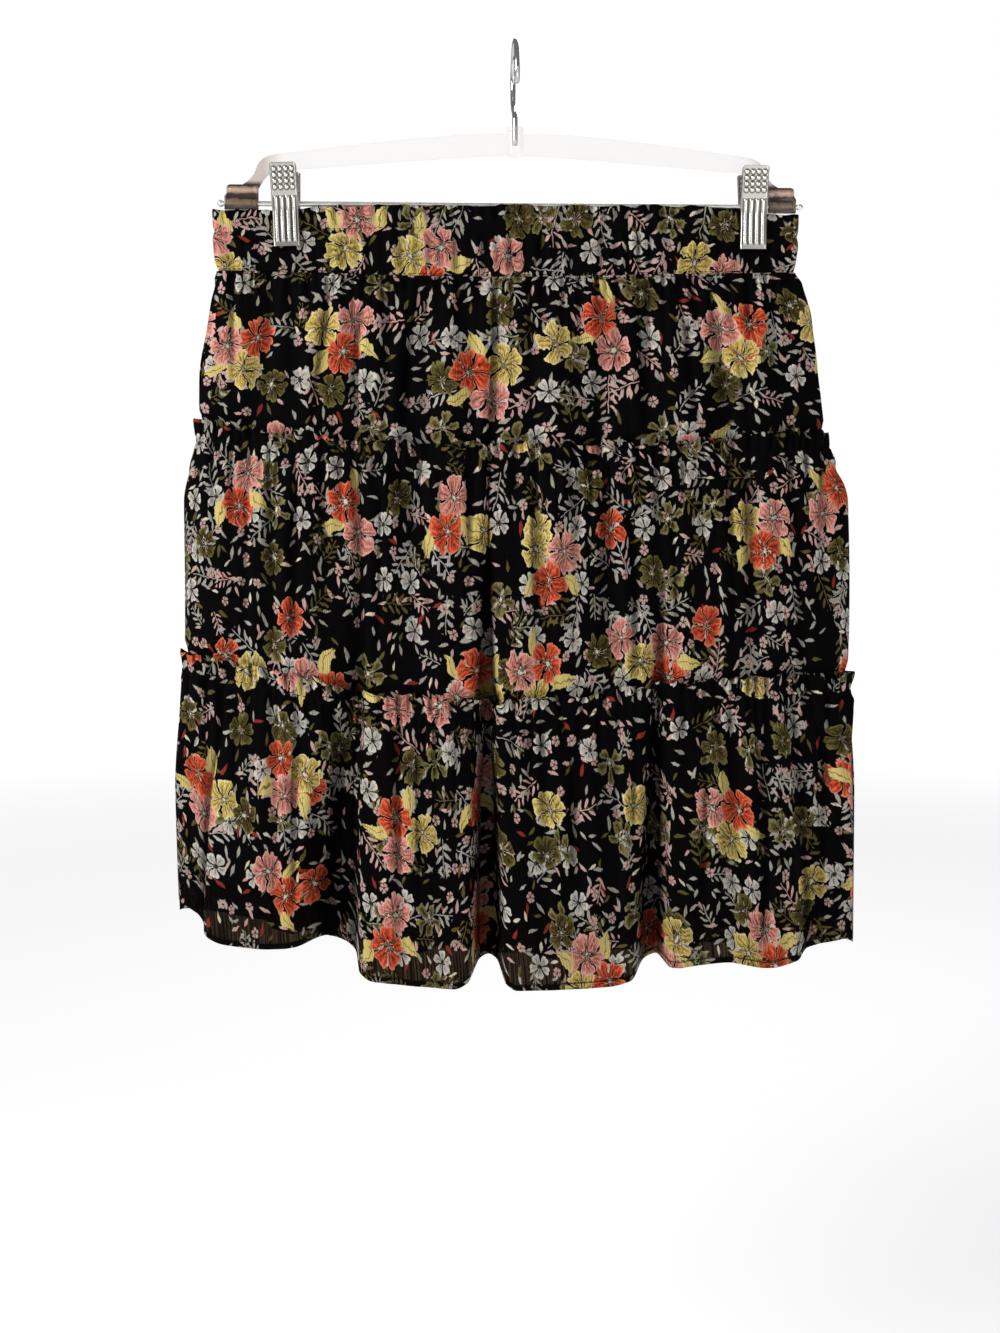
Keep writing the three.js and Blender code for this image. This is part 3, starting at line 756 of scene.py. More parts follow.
def chiffon_material(name, sheer):
    """Crinkle chiffon, printed. Over the lining nothing shows through it. Below the
    lining's edge the ground is sheer, and it is doubled in the narrow hem. Its colour holds
    painted shade in the crinkle's grooves and the folds' hollows, and on the sheer hem a
    painted shadow line where the hem is turned."""
    paint = Print(name)
    paint.draw()
    u, v, _ = paint.split(paint.flat)
    drift = paint.cloud(paint.flat, 0.07, 1.0)
    rib = ((u + drift * 7) * (2 * math.pi / 1.6)).math("SINE") * 0.5 + 0.5
    strength = paint.cloud(paint.vector(u, u * 0.07), 0.3).ramp(0.25, 0.75)
    # Painted shade: the colour is darkened along the grooves between the crinkle's ribs, beside
    # their real bump
    dark = paint.blend(paint.colour, BLACK, rib.ramp(0.42, 0.05) * strength * 0.42)
    # Painted shade: the colour is darkened in the hollows of the folds, where shade falls
    dark = paint.blend(dark, BLACK, paint.attribute("crest_shading").ramp(0.62, 0.12) * 0.72)
    if sheer:
        hem = paint.attribute("edge_mm")
        # Painted shadow: a dark line where the narrow hem's turned edge lies
        dark = paint.blend(dark, BLACK, (hem.below(4.1, 0.3) - hem.below(3.2, 0.3)) * 0.75)
    bump = paint.node("Bump", Height=rib * strength, Strength=0.5, Distance=0.0004)
    look = {"Roughness": 0.8, "Specular IOR Level": 0.03, "Normal": bump.outputs["Normal"]}
    cloth = paint.principled(Base_Color=dark, **look)
    if not sheer:
        return paint.output(cloth)
    doubled = hem.below(3.6, 0.25) * SHEER["hem"]
    streak = paint.cloud(paint.vector(u, v * 0.02), 1.1, 1.0).ramp(0.3, 0.7)
    ground = streak * 0.22 + SHEER["ground"]
    solid = ground.math("MAXIMUM", paint.cover * SHEER["print"]).math("MAXIMUM", doubled)
    both = paint.node("MixShader", Fac=solid)
    paint.put(paint.node("BsdfTransparent", Color=SHEER["tint"]).outputs[0], both.inputs[1])
    paint.put(cloth, both.inputs[2])
    return paint.output(both.outputs[0])


def plain_material(name, colour, roughness, metallic=0.0, **inputs):
    paint = Paint(name)
    tone = paint.cloud(paint.object_place(), 160.0, 2.0, "3D").ramp(0.3, 0.7)
    shade = paint.blend(tuple(0.8 * c for c in colour), colour, tone)
    rough = tone * 0.12 + (roughness - 0.06)
    return paint.output(
        paint.principled(Base_Color=shade, Roughness=rough, Metallic=metallic, **inputs)
    )


# Cloth pieces


def flat_places(points, corner):
    """Where each point of a gathered wall lies on the flat cloth: across, along its longest
    row, partly evened out, and down, the mean length of the columns. In decimetres."""
    own = np.linalg.norm(np.diff(points, axis=1), axis=2)
    longest = own[np.argmax(own.sum(axis=1))]
    calm = own.min(axis=0)
    steps = 0.45 * longest + 0.55 * calm * longest.sum() / calm.sum()
    reach = 7
    window = np.ones(2 * reach + 1) / (2 * reach + 1)
    padded = np.pad(own, ((0, 0), (reach, reach)), mode="edge")
    near = np.apply_along_axis(np.convolve, 1, padded, window, "valid")
    u = np.pad(np.cumsum(steps * (own / near) ** 0.8, axis=1), ((0, 0), (1, 0)))
    down_steps = np.linalg.norm(np.diff(points, axis=0), axis=2).mean(axis=1)
    v = -np.concatenate([[0], np.cumsum(down_steps)])
    grid = np.stack(np.broadcast_arrays(u + corner[0], v[:, None] + corner[1]), axis=-1)
    return grid / 100, (steps.sum(), -v[-1])


def columns_of(count, side, z):
    """Places along the cloth, closer where it runs into folds at the height z."""
    fine = np.linspace(-1, 1, 2401)
    line = outside(side, fine, np.full(len(fine), float(z)))
    steps = np.linalg.norm(np.diff(line, axis=0), axis=1)
    run = np.concatenate([[0], np.cumsum(0.5 * steps + 0.5 * steps.mean())])
    return np.interp(np.linspace(0, run[-1], count), run, fine)


def row_shares(count, power=1.0):
    """Shares from 0 to 1 in a column, closer at the start for a power over 1."""
    return np.linspace(0, 1, count)[:, None] ** power


def keep_apart(side, s, outer, inner, apart):
    """Keeps both faces on their own side of the middle, and the outer one further out."""
    sign = SIDES[side]
    least = GAP / 2 + np.where(np.abs(s) > 0.999, 0, apart)
    outer[..., 1] = sign * np.maximum(least, sign * outer[..., 1])
    inner[..., 1] = sign * np.maximum(GAP / 2, sign * inner[..., 1])


def panel(side, height, stand, corner, columns, fullness):
    """A cloth wall. height(at) gives the rows' heights and stand(x, z, at) how far it lies
    out from the body. The print is drawn together by the fullness."""
    z = height(across(columns))
    s = np.broadcast_to(columns, z.shape).copy()
    at = across(s)
    body = outside(side, s, z)
    normal = outward(side, s, z)
    out = stand(at * half_width(at, z), z, at) * unpinched(body[..., 0], z)
    outer = body + normal * out[..., None]
    inner = outer - normal * CLOTH
    keep_apart(side, s, outer, inner, 0.35)
    uv, size = flat_places(outer, corner)
    uv[..., 0] *= fullness
    return outer, inner, uv, size, crests(outer, normal)


grids = {}  # the outside of each cloth piece, for the stitching
chiffon = chiffon_material("chiffon", sheer=False)
sheer_chiffon = chiffon_material("sheer_chiffon", sheer=True)


def add_cloth(name, side, parts, edge_mm):
    outer, inner, uv, size, crest_shading = parts
    node = name.removesuffix("_cloth")
    grids[node] = outer
    piece = shell(name, outer, inner, uv, {"edge_mm": edge_mm, "crest_shading": crest_shading}, side == "back")
    finish_piece(piece, "chiffon", chiffon, node)
    if edge_mm.min() < SHEER["from_hem"]:
        piece.data.materials.append(sheer_chiffon)
        low = np.tile(edge_mm.ravel() < SHEER["from_hem"], 2)
        corners = np.array([polygon.vertices[:] for polygon in piece.data.polygons])
        below = low[corners].all(axis=1).astype(np.int32)
        piece.data.polygons.foreach_set("material_index", below)
    size[0] * MM
    size[1] * MM


FAR_FROM_HEM = 99.0


def add_waistband(side):
    seed = SEEDS[side]

    def height(at):
        shares = row_shares(34)
        wavy = 0.8 * wander(at * 170, 7, seed) * (1 - ease(shares / 0.2))
        return mix(edge("waist", at), edge("casing", at) - GAP / 2, shares) + wavy

    def stand(x, z, at):
        down = edge("waist", at) - z
        left = z - edge("casing", at)
        header = 1.7 * frill(x, 7.5, seed) * ease((CASING_TOP - down) / 9)
        pinched = -0.8 * bell(down - CASING_TOP, 1.6) - 0.9 * bell(left, 2.2)
        channel = ease((down - CASING_TOP) / 7) * ease(left / 7)
        folds = 1.5 * frill(x, 8.5, seed + 3) + 1.1 * frill(x, 17, seed + 5) - 0.5
        return header + pinched + channel * folds

    corner = (0, 0 if side == "front" else 300)
    parts = panel(side, height, stand, corner, columns_of(340, side, -140), 1.05)
    far = np.full(parts[0].shape[:2], FAR_FROM_HEM)
    add_cloth(f"waistband_{side}_cloth", side, parts, far)


def heading(x, up, seed):
    """The ruffle standing above the stitching. up is the distance above it."""
    flare = ease(up / HEADING)
    fine = (1.2 + 1.6 * flare) * frill(x, 5.2, seed)
    broad = (0.6 + 2.6 * flare) * frill(x, 11, seed + 2)
    return 0.6 + (fine + broad) - 0.5 * bell(up, 1.3)


TIERS = {
    1: {"upper": "casing", "lower": "seam1", "columns": 340, "rows": 46, "fullness": 1.02},
    2: {"upper": "seam1", "lower": "seam2", "columns": 360, "rows": 52, "fullness": 0.97},
    3: {"upper": "seam2", "lower": None, "columns": 400, "rows": 56, "fullness": 0.93},
}


def add_tier(number, side):
    tier = TIERS[number]
    upper, lower = tier["upper"], tier["lower"]
    seed = SEEDS[side] + 30 * number
    headed = number > 1

    def bottom(at):
        if lower:
            return edge(lower, at) - TURNING
        half = half_width(at, np.full_like(at, HEM["rise"]))
        rise = (f["rise"] * floor_of(f, (at - f["hem"]) * half, soft=3.2) for f in FLUTES[side])
        return edge(side, at) + sum(rise)

    def height(at):
        seam = edge(upper, at)
        low = mix(seam - (0 if headed else GAP / 2), bottom(at), row_shares(tier["rows"], 1.35))
        if not headed:
            return low
        up = np.linspace(HEADING, 1.2, 9)[:, None]
        x = at * 190
        uneven = 1 + 0.2 * wander(x, 3.6, seed + 9) + 0.14 * wander(x, 11, seed + 10)
        return np.concatenate([seam + up * uneven, low])

    def stand(x, z, at):
        down = edge(upper, at) - z
        out = gathers(x, down, seed)
        if headed:
            out = np.where(down < 0, heading(x, -down, seed), out + 0.6 * bell(down, 2))
        else:
            out = out - 0.4 * bell(down, 3)
        if lower:
            above = z - edge(lower, at) - HEADING
            out = out * ease(above / 30) - TUCK * ease((7 - above) / 7)
        return out

    corner = (140 * number + (0 if side == "front" else 620), 260 * number)
    columns = columns_of(tier["columns"], side, edge(lower, 0) if lower else HEM["columns"])
    parts = panel(side, height, stand, corner, columns, tier["fullness"])
    z = parts[0][..., 2]
    to_hem = np.full(z.shape, FAR_FROM_HEM) if lower else z - bottom(across(columns))
    add_cloth(f"tier_{number}_{side}_cloth", side, parts, to_hem)


LINING = {"inset": 9, "depth": 6.6, "leaves": 0.14, "side": 6, "wall": 0.4}


def add_lining(side):
    """The lining is sewn in with tier 1, and lower down it hangs on its own, flatter."""
    sign = SIDES[side]
    share = row_shares(40)
    s = np.linspace(-1, 1, 161)
    z = mix(edge("casing", across(s)) - GAP / 2, edge("lining", across(s)), share)
    s = np.broadcast_to(s, z.shape).copy()
    at = across(s)
    sewn = outside(side, s, z) - outward(side, s, z) * (WALL + 0.4 + GAP + 0.2)
    reach = half_width(at, z) - LINING["side"]
    sewn[..., 0] = np.clip(sewn[..., 0], -reach, reach)
    folds = 1 + 0.1 * wander(at * 190, 26, SEEDS[side] + 4)
    depth = GAP / 2 + LINING["depth"] * roundness(at) * folds
    free = np.stack([at * (half_width(at, z) - LINING["inset"]), sign * depth, z], axis=-1)
    outer = mix(sewn, free, ease(share / LINING["leaves"])[..., None])
    slope = np.abs(at) ** 8
    normal = np.stack([np.sign(at) * slope, sign * (1 - slope), 0 * slope], axis=-1)
    normal /= np.linalg.norm(normal, axis=-1, keepdims=True)
    inner = outer - normal * LINING["wall"]
    keep_apart(side, s, outer, inner, 0.3)
    uv, size = flat_places(outer, (0, 0))
    piece = shell(f"lining_{side}_cloth", outer, inner, uv, {}, side == "back")
    finish_piece(piece, "lining", lining, f"lining_{side}")
    size[0] * MM
    size[1] * MM


for side in SIDES:
    add_waistband(side)
    for number in TIERS:
        add_tier(number, side)
lining = plain_material("lining", linear(14, 14, 16), 0.55)
for side in SIDES:
    add_lining(side)


# Stitching: short runs of black thread that lie on the cloth

STITCH = {"pitch": 3.1, "length": 2.3, "radius": 0.2, "lift": 0.1}
AROUND = 6  # corners round a thread


def line_on(grid, heights):
    """Where a level line runs on a cloth, one point in each column."""
    points = []
    for j, height in enumerate(heights):
        column = grid[::-1, j]
        points.append([np.interp(height, column[:, 2], column[:, k]) for k in range(3)])
    return np.array(points)


def stitch_run(points, side):
    """Thread capsules along a line of points, as vertices and faces."""
    run = np.concatenate([[0], np.cumsum(np.linalg.norm(np.diff(points, axis=0), axis=1))])
    starts = np.arange(STITCH["pitch"], run[-1] - STITCH["pitch"], STITCH["pitch"])
    a, b = (
        np.stack([np.interp(t, run, points[:, k]) for k in range(3)], axis=-1)
        for t in (starts, starts + STITCH["length"])
    )
    way = (b - a) / np.linalg.norm(b - a, axis=1)[:, None]
    out = np.stack([-way[:, 1], way[:, 0], 0 * way[:, 0]], axis=-1)
    out *= (SIDES[side] * np.sign(out[:, 1] + 1e-9))[:, None]
    out /= np.linalg.norm(out, axis=1)[:, None]
    up = np.cross(way, out)
    vertices, faces = [], []
    for i in range(len(a)):
        first = len(vertices)
        last = first + 2 * AROUND + 1
        vertices.append(a[i])
        for share in (0.22, 0.78):
            middle = mix(a[i], b[i], share) + out[i] * STITCH["lift"]
            for k in range(AROUND):
                angle = 2 * math.pi * k / AROUND
                spoke = math.cos(angle) * up[i] + math.sin(angle) * out[i]
                vertices.append(middle + STITCH["radius"] * spoke)
        vertices.append(b[i])
        for k in range(AROUND):
            near, beside = first + 1 + k, first + 1 + (k + 1) % AROUND
            faces.append((first, beside, near))
            faces.append((near, beside, beside + AROUND, near + AROUND))
            faces.append((near + AROUND, beside + AROUND, last))
    return vertices, faces


def add_stitching(side):
    top = {name: grid[0, :, 2] for name, grid in grids.items()}
    bottom = {name: grid[-1, :, 2] for name, grid in grids.items()}
    parts = ("waistband", "tier_1", "tier_2", "tier_3")
    band, first, second, third = (f"{part}_{side}" for part in parts)
    lines = [
        (band, top[band] - CASING_TOP),
        (band, bottom[band] + 1.4),
        (first, top[first] - 1.6),
        (second, top[second] - HEADING - 0.4),
        (third, top[third] - HEADING - 0.4),
        (third, bottom[third] + 3.8),
    ]
    vertices, faces = [], []
    for name, heights in lines:
        smooth = np.convolve(np.pad(heights, 12, mode="edge"), np.ones(25) / 25, mode="valid")
        more, sides = stitch_run(line_on(grids[name], smooth), side)
        faces += [tuple(v + len(vertices) for v in face) for face in sides]
        vertices += more
    mesh = bpy.data.meshes.new(f"stitching_{side}")
    mesh.from_pydata([tuple(v * MM) for v in vertices], [], faces)
    mesh.polygons.foreach_set("use_smooth", [True] * len(mesh.polygons))
    finish_piece(link(f"stitching_{side}", mesh), "chiffon", thread)


thread = plain_material("thread", linear(12, 11, 11), 0.9, Specular_IOR_Level=0.05)
for side in SIDES:
    add_stitching(side)


# The hanger, built plainly: clear plastic, chrome wire and pressed steel clips

TILT = math.radians(0.37)
NECK_Z = -48
ROD = {"z": -93.4, "radius": 1.5, "left": -177.6, "right": 172.6, "ball": 2.1}
FRAME = {"thickness": 4.4, "block_top": -82.5, "block_bottom": -97, "bevel": 0.7}
BLOCKS = rows_of("side end width", (-1, 173.2, 20), (1, 168.2, 16.5))
BARS = rows_of("z radius short", (-85.75, 3.2, 1.3), (-93.4, 3.55, 0.1))
HOOK = {"wire": 1.6, "inside": 18, "turn": math.radians(3), "from": -52, "to": 205}
CLIP = {"width": 15.8, "sheet": 0.8, "top": 21.5, "tip": -25.6, "bore": 2, "ear": 2.7}
CLIP_LEAN = {"left": math.radians(1.5), "right": 0}
RIB = {"radius": 1.05, "height": 0.75, "top": 3.2}
DOT = {"radius": 1.3, "height": 0.8, "first": 7.9, "pitch": 3.3}
COLUMN_PITCH = 3.5  # from one rib, or one column of dots, to the next


def tube(path, radii, sides):
    """A mesh round a path of points, closed at both ends."""
    made = bmesh.new()
    path = [Vector(point) for point in path]
    count = len(path)
    start = (path[1] - path[0]).normalized()
    up = Vector((0, 0, 1)) if abs(start.x) > 0.9 else Vector((1, 0, 0))
    rings = []
    for i, point in enumerate(path):
        way = (path[min(i + 1, count - 1)] - path[max(i - 1, 0)]).normalized()
        up = (up - way * up.dot(way)).normalized()
        beside = way.cross(up)
        ring = []
        for k in range(sides):
            angle = 2 * math.pi * k / sides
            spoke = math.cos(angle) * up + math.sin(angle) * beside
            ring.append(made.verts.new(point + radii[i] * spoke))
        rings.append(ring)
    for near, far in zip(rings, rings[1:]):
        for k in range(sides):
            made.faces.new((near[k], near[(k + 1) % sides], far[(k + 1) % sides], far[k]))
    made.faces.new(rings[0][::-1])
    made.faces.new(rings[-1])
    return made


def rod_shape(radius, x0, x1, z):
    return tube([(x0, 0, z), (x1, 0, z)], [radius, radius], 28)


def as_piece(name, made, place=Matrix.Identity(4)):
    """A bmesh in millimetres, set in place and turned into an object in metres."""
    made.transform(Matrix.Scale(MM, 4) @ place)
    bmesh.ops.recalc_face_normals(made, faces=made.faces)
    mesh = bpy.data.meshes.new(name)
    made.to_mesh(mesh)
    made.free()
    mesh.polygons.foreach_set("use_smooth", [True] * len(mesh.polygons))
    return link(name, mesh)


def round_ended(points, radius, sides):
    """A tube with a round end, running out past its last point."""
    last, before = Vector(points[-1]), Vector(points[-2])
    way = (last - before).normalized()
    angles = [math.pi / 2 * (i + 1) / 5 for i in range(5)]
    extra = [last + way * radius * math.sin(a) for a in angles]
    closing = [max(radius * math.cos(a), 0.05 * radius) for a in angles]
    return tube(points + extra, [radius] * len(points) + closing, sides)


def add_hook():
    """A straight shank, a bend out to the side and the round crown."""
    radius = HOOK["inside"] + HOOK["wire"]
    start, finish = math.radians(HOOK["from"]), math.radians(HOOK["to"])

    def on_crown(angle):
        return Vector((0, radius * math.cos(angle), radius * math.sin(angle) - HOOK["inside"]))

    points = [Vector((0, 0, NECK_Z - 10 + 14.5 * i / 6)) for i in range(6)]
    foot, first = Vector((0, 0, NECK_Z + 4.5)), on_crown(start)
    leave, arrive = Vector((0, 0, 9)), Vector((0, -math.sin(start), math.cos(start))) * 9
    for i in range(14):
        t = i / 14
        points.append(
            foot * (1 - t) ** 2 * (1 + 2 * t)
            + leave * 1.6 * t * (1 - t) ** 2
            + first * t * t * (3 - 2 * t)
            - arrive * 1.6 * t * t * (1 - t)
        )
    points += [on_crown(mix(start, finish, i / 60)) for i in range(61)]
    wire = round_ended(points, HOOK["wire"], 20)
    hook = as_piece("hanger_hook_wire", wire, Matrix.Rotation(HOOK["turn"], 4, "Z"))
    finish_piece(hook, "hanger_metal", chrome, "hanger_hook")


def hanger_place():
    """The frame and rod tilt about the hook's foot."""
    foot = Matrix.Translation((0, 0, NECK_Z))
    return foot @ Matrix.Rotation(TILT, 4, "Y") @ foot.inverted()


def bezier(a, b, c, d, steps):
    a, b, c, d = (Vector(p) for p in (a, b, c, d))
    shares = [(i + 1) / steps for i in range(steps)]
    return [
        a * (1 - t) ** 3 + 3 * b * t * (1 - t) ** 2 + 3 * c * t * t * (1 - t) + d * t**3
        for t in shares
    ]


def frame_outline(block):
    """Half the frame's outline, from the top of the neck round the end block to the foot of
    the neck."""
    side, width = block["side"], block["width"]

    def arm(inset, z):
        return Vector((side * (block["end"] - inset), z))

    top, bottom = FRAME["block_top"], FRAME["block_bottom"]
    points = [Vector((side * 6, NECK_Z - 4))]
    points += bezier(points[-1], (side * 40, -51), (side * 110, -61), arm(32, -64.5), 20)
    points += bezier(points[-1], arm(24, -65.5), arm(21, -68), arm(19, -73), 8)
    points += bezier(points[-1], arm(17.5, -78), arm(15, -80), arm(11, top), 6)
    points += [arm(3.2, top), arm(1.6, top - 0.8), arm(1.2, top - 2.4), arm(1.2, top - 5)]
    points += [arm(0, top - 7), arm(0, bottom), arm(width, bottom), arm(width, top - 2)]
    points += bezier(points[-1], arm(23, -79), arm(26, -74.5), arm(33, -73.5), 8)
    points += bezier(points[-1], (side * 110, -72), (side * 40, -65), (0, -64), 20)
    return points


def thick_outline(points, way):
    """A flat outline made thick."""
    made = bmesh.new()
    face = made.faces.new([made.verts.new(point) for point in points])
    grown = bmesh.ops.extrude_face_region(made, geom=[face])
    moved = [v for v in grown["geom"] if isinstance(v, bmesh.types.BMVert)]
    bmesh.ops.translate(made, verts=moved, vec=way)
    return made


def frame_slab(outline):
    """The frame's outline made thick, with round edges."""
    thick = FRAME["thickness"]
    made = thick_outline([(x, -thick / 2, z) for x, z in outline], (0, thick, 0))
    bmesh.ops.recalc_face_normals(made, faces=made.faces)
    rims = [e for e in made.edges if abs(e.verts[0].co.y - e.verts[1].co.y) < 1e-6]
    rounding = {"offset": FRAME["bevel"], "segments": 3, "profile": 0.5, "affect": "EDGES"}
    bmesh.ops.bevel(made, geom=rims, **rounding)
    return made


def combined(name, body, others, operation):
    """The body with other solids joined on or cut out."""
    for i, other in enumerate(others):
        change = body.modifiers.new(f"change{i}", "BOOLEAN")
        change.operation = operation
        change.solver = "EXACT"
        change.object = other
    graph = bpy.context.evaluated_depsgraph_get()
    mesh = bpy.data.meshes.new_from_object(body.evaluated_get(graph))
    for used in (body, *others):
        bpy.data.objects.remove(used)
    return link(name, mesh)


def shade(piece, degrees):
    piece.data.shade_smooth()
    piece.data.set_sharp_from_angle(angle=math.radians(degrees))


def add_frame():
    place = hanger_place()
    left, right = (frame_outline(block) for block in BLOCKS)
    body = as_piece("frame_body", frame_slab(left + right[::-1][1:]), place)
    boss = tube([(0, 0, NECK_Z - 16), (0, 0, NECK_Z)], [5.6, 5], 32)
    parts = [as_piece("boss", boss, place)]
    for block in BLOCKS:
        side, end = block["side"], block["end"]
        start = end - block["width"]
        for bar in BARS:
            radius = bar["radius"]
            outer = end - radius - bar["short"]
            points = [(side * x, 0, bar["z"]) for x in (start + 0.6, outer)]
            parts.append(as_piece("bar", round_ended(points, radius, 24), place))
            ring = [(side * (start + 3.5 + step), 0, bar["z"]) for step in (0, 1.1)]
            parts.append(as_piece("ring", tube(ring, [radius + 0.4] * 2, 24), place))
    joined = combined("frame_joined", body, parts, "UNION")
    bore = as_piece("bore", rod_shape(ROD["radius"] + 0.3, -200, 200, ROD["z"]), place)
    hole = tube([(0, 0, NECK_Z - 10.3), (0, 0, NECK_Z + 9)], [1.9, 1.9], 28)
    socket = as_piece("socket", hole, place)
    piece = combined("hanger_frame_clear", joined, [bore, socket], "DIFFERENCE")
    shade(piece, 35)
    finish_piece(piece, "clear_plastic", plastic, "hanger_frame")


def add_rod():
    """The rod has a small ball at each end."""
    ball = ROD["ball"]
    angles = [math.pi * 0.74 * i / 10 for i in range(11)]
    ends = [ball - ball * math.cos(angle) for angle in angles] + [ball * 2.55]
    radii = [max(ball * math.sin(angle), 0.05) for angle in angles] + [ROD["radius"]]
    points = [(ROD["left"] + x, 0, ROD["z"]) for x in ends]
    points += [(ROD["right"] - x, 0, ROD["z"]) for x in reversed(ends)]
    rod = as_piece("hanger_rod_wire", tube(points, radii + radii[::-1], 28), hanger_place())
    finish_piece(rod, "hanger_metal", lit_rod_chrome, "hanger_rod")


def clip_profile(z):
    """How far the plate's outside stands from the rod's axis at each height."""
    bend = [(-25.6, 4.6), (-4, 5.3), (2, 6.6), (21.5, 12.2)]
    heights, depths = zip(*bend)
    soft = [np.interp(z + shift, heights, depths) for shift in (-1.6, -0.8, 0, 0.8, 1.6)]
    return np.mean(soft, axis=0)


def pressed_marks(x, z):
    """For each of four columns, how far places lie from its rib's middle and from the
    middles of its four dots."""
    for i in range(4):
        off = np.abs(x - (i - 1.5) * COLUMN_PITCH)
        rows = (DOT["first"] + DOT["pitch"] * row for row in range(4))
        yield off, [np.hypot(off, z - row) for row in rows]


def dome(off, radius):
    return np.sqrt(np.clip(1 - (off / radius) ** 2, 0, 1))


def clip_relief(x, z):
    """How high the dots on the handle and the ribs on the jaw are pressed."""
    above_tip = np.clip((z - (CLIP["tip"] + 2.6)) / 1.2, 0, 1)
    length = np.sqrt(above_tip * np.clip((RIB["top"] - z) / 1.2, 0, 1))
    relief = np.zeros_like(x)
    for off, dots in pressed_marks(x, z):
        relief = np.maximum(relief, RIB["height"] * dome(off, RIB["radius"]) * length)
        for far in dots:
            relief = np.maximum(relief, DOT["height"] * dome(far, DOT["radius"]))
    return relief


def clip_plate(sign):
    """One pressed plate with its long edges rolled back. sign is -1 for the front one."""
    width, sheet, roll, flange = CLIP["width"], CLIP["sheet"], 1.3, 1.5
    flat = width / 2 - roll
    around = np.concatenate(
        [
            [-flat - roll - flange],
            -flat - roll * np.linspace(1, 0.0, 6)[:-1],
            np.linspace(-flat, flat, 53),
            flat + roll * np.linspace(0.0, 1, 6)[1:],
            [flat + roll + flange],
        ]
    )
    turn = np.clip((np.abs(around) - flat) / roll, 0, 1) * math.pi / 2
    extra = np.maximum(np.abs(around) - flat - roll, 0)
    x = np.sign(around) * (np.minimum(np.abs(around), flat) + roll * np.sin(turn))
    back = roll * (1 - np.cos(turn)) + extra
    inner_x = np.sign(around) * (np.minimum(np.abs(around), flat) + (roll - sheet) * np.sin(turn))
    inner_back = roll - (roll - sheet) * np.cos(turn) + extra
    z = np.linspace(CLIP["tip"], CLIP["top"], 130)[:, None]
    corner = 1.6
    in_corner = np.clip(np.abs(x) - (width / 2 - corner), 0, corner)
    round_top = np.sqrt(np.clip(corner**2 - in_corner**2, 0, None))
    height = z - (corner - round_top)[None, :] * (z > 0) * ease((z - 15) / 6.5)
    wide = x[None, :] + 0 * z
    depth = clip_profile(height)
    taper = 1 - 0.35 * ease((-z - 10) / 16)
    outer = np.stack([wide, depth + clip_relief(wide, height) - back * taper, height], axis=-1)
    inner = np.stack([inner_x[None, :] + 0 * z, depth - inner_back * taper, height], axis=-1)
    made = bmesh.new()
    grids = []
    for grid in (outer, inner):
        grid[..., 1] *= sign
        grids.append([[made.verts.new(point) for point in row] for row in grid.tolist()])
    out, within = grids
    rows, columns = len(out), len(out[0])
    for i in range(rows - 1):
        for j in range(columns - 1):
            made.faces.new((out[i][j], out[i][j + 1], out[i + 1][j + 1], out[i + 1][j]))
            corners = ((i, j), (i + 1, j), (i + 1, j + 1), (i, j + 1))
            made.faces.new([within[row][column] for row, column in corners])
        for j in (0, columns - 1):
            made.faces.new((out[i][j], out[i + 1][j], within[i + 1][j], within[i][j]))
    for i in (0, rows - 1):
        for j in range(columns - 1):
            made.faces.new((out[i][j], within[i][j], within[i][j + 1], out[i][j + 1]))
    return made


def clip_ear(sign, side):
    """The ear that holds the plate on the rod. The back plate's ears lie inside the others."""
    sheet, ear = 0.9, CLIP["ear"]
    x = side * (CLIP["width"] / 2 - (sheet / 2 if sign < 0 else 1.5 * sheet + 0.5))
    outline = [(9, 7.4), (-3.3, 4.7), (-ear, 0)]
    outline += [(-ear * math.cos(a), -ear * math.sin(a)) for a in np.linspace(0.3, math.pi, 10)]
    return thick_outline([(x - sheet / 2, sign * y, z) for z, y in outline], (sheet, 0, 0))


def spring_coil():
    """A wire coiled round the rod."""
    turns, radius, wire, half, steps = 8.5, 2.25, 0.34, 4.0, 150
    points = []
    for i in range(steps + 1):
        angle = 2 * math.pi * turns * i / steps
        along_rod = -half + 2 * half * i / steps
        points.append(Vector((along_rod, radius * math.sin(angle), -radius * math.cos(angle))))
    return tube(points, [wire] * len(points), 8)


def mark_relief(piece, place):
    """Marks each point of a plate: 1 on the ribs and dots, 0 in the hollows round them, and
    between the two on the plain sheet. The steel's colour follows it, as painted shade in
    the hollows and painted highlights on the ribs and dots."""
    local = place.inverted()
    points = np.array([local @ (vertex.co / MM) for vertex in piece.data.vertices])
    x, z = points[:, 0], points[:, 2]
    on_ribs = (z > CLIP["tip"] + 2.4) & (z < RIB["top"] + 0.2)
    hollow = np.zeros(len(x))
    for off, dots in pressed_marks(x, z):
        hollow = np.maximum(hollow, np.where(on_ribs, bell(off - 1.5, 0.45), 0))
        for far in dots:
            hollow = np.maximum(hollow, bell(far - 1.5, 0.35))
    marked = np.maximum(0.55 * (1 - hollow), clip_relief(x, z) / RIB["height"]).clip(0, 1)
    set_values(piece.data, "relief", marked)


def add_clip(side):
    x = CLIP_X[side]
    place = Matrix.Translation((x, 0, ROD["z"] - x * math.tan(TILT)))
    place = place @ Matrix.Rotation(-CLIP_LEAN[side], 4, "Y")
    for end, sign in SIDES.items():
        plate = as_piece("plate", clip_plate(sign), place)
        ears = [as_piece("ear", clip_ear(sign, ear), place) for ear in (-1, 1)]
        hole = as_piece("hole", rod_shape(CLIP["bore"], -12, 12, 0), place)
        joined = combined("plate_and_ears", plate, ears, "UNION")
        piece = combined(f"clip_{side}_{end}_plate", joined, [hole], "DIFFERENCE")
        mark_relief(piece, place)
        shade(piece, 40)
        finish_piece(piece, "clip_metal", steel, f"clip_{side}_{end}")
    coil = as_piece(f"clip_{side}_coil", spring_coil(), place)
    finish_piece(coil, "clip_metal", spring, f"clip_{side}_spring")


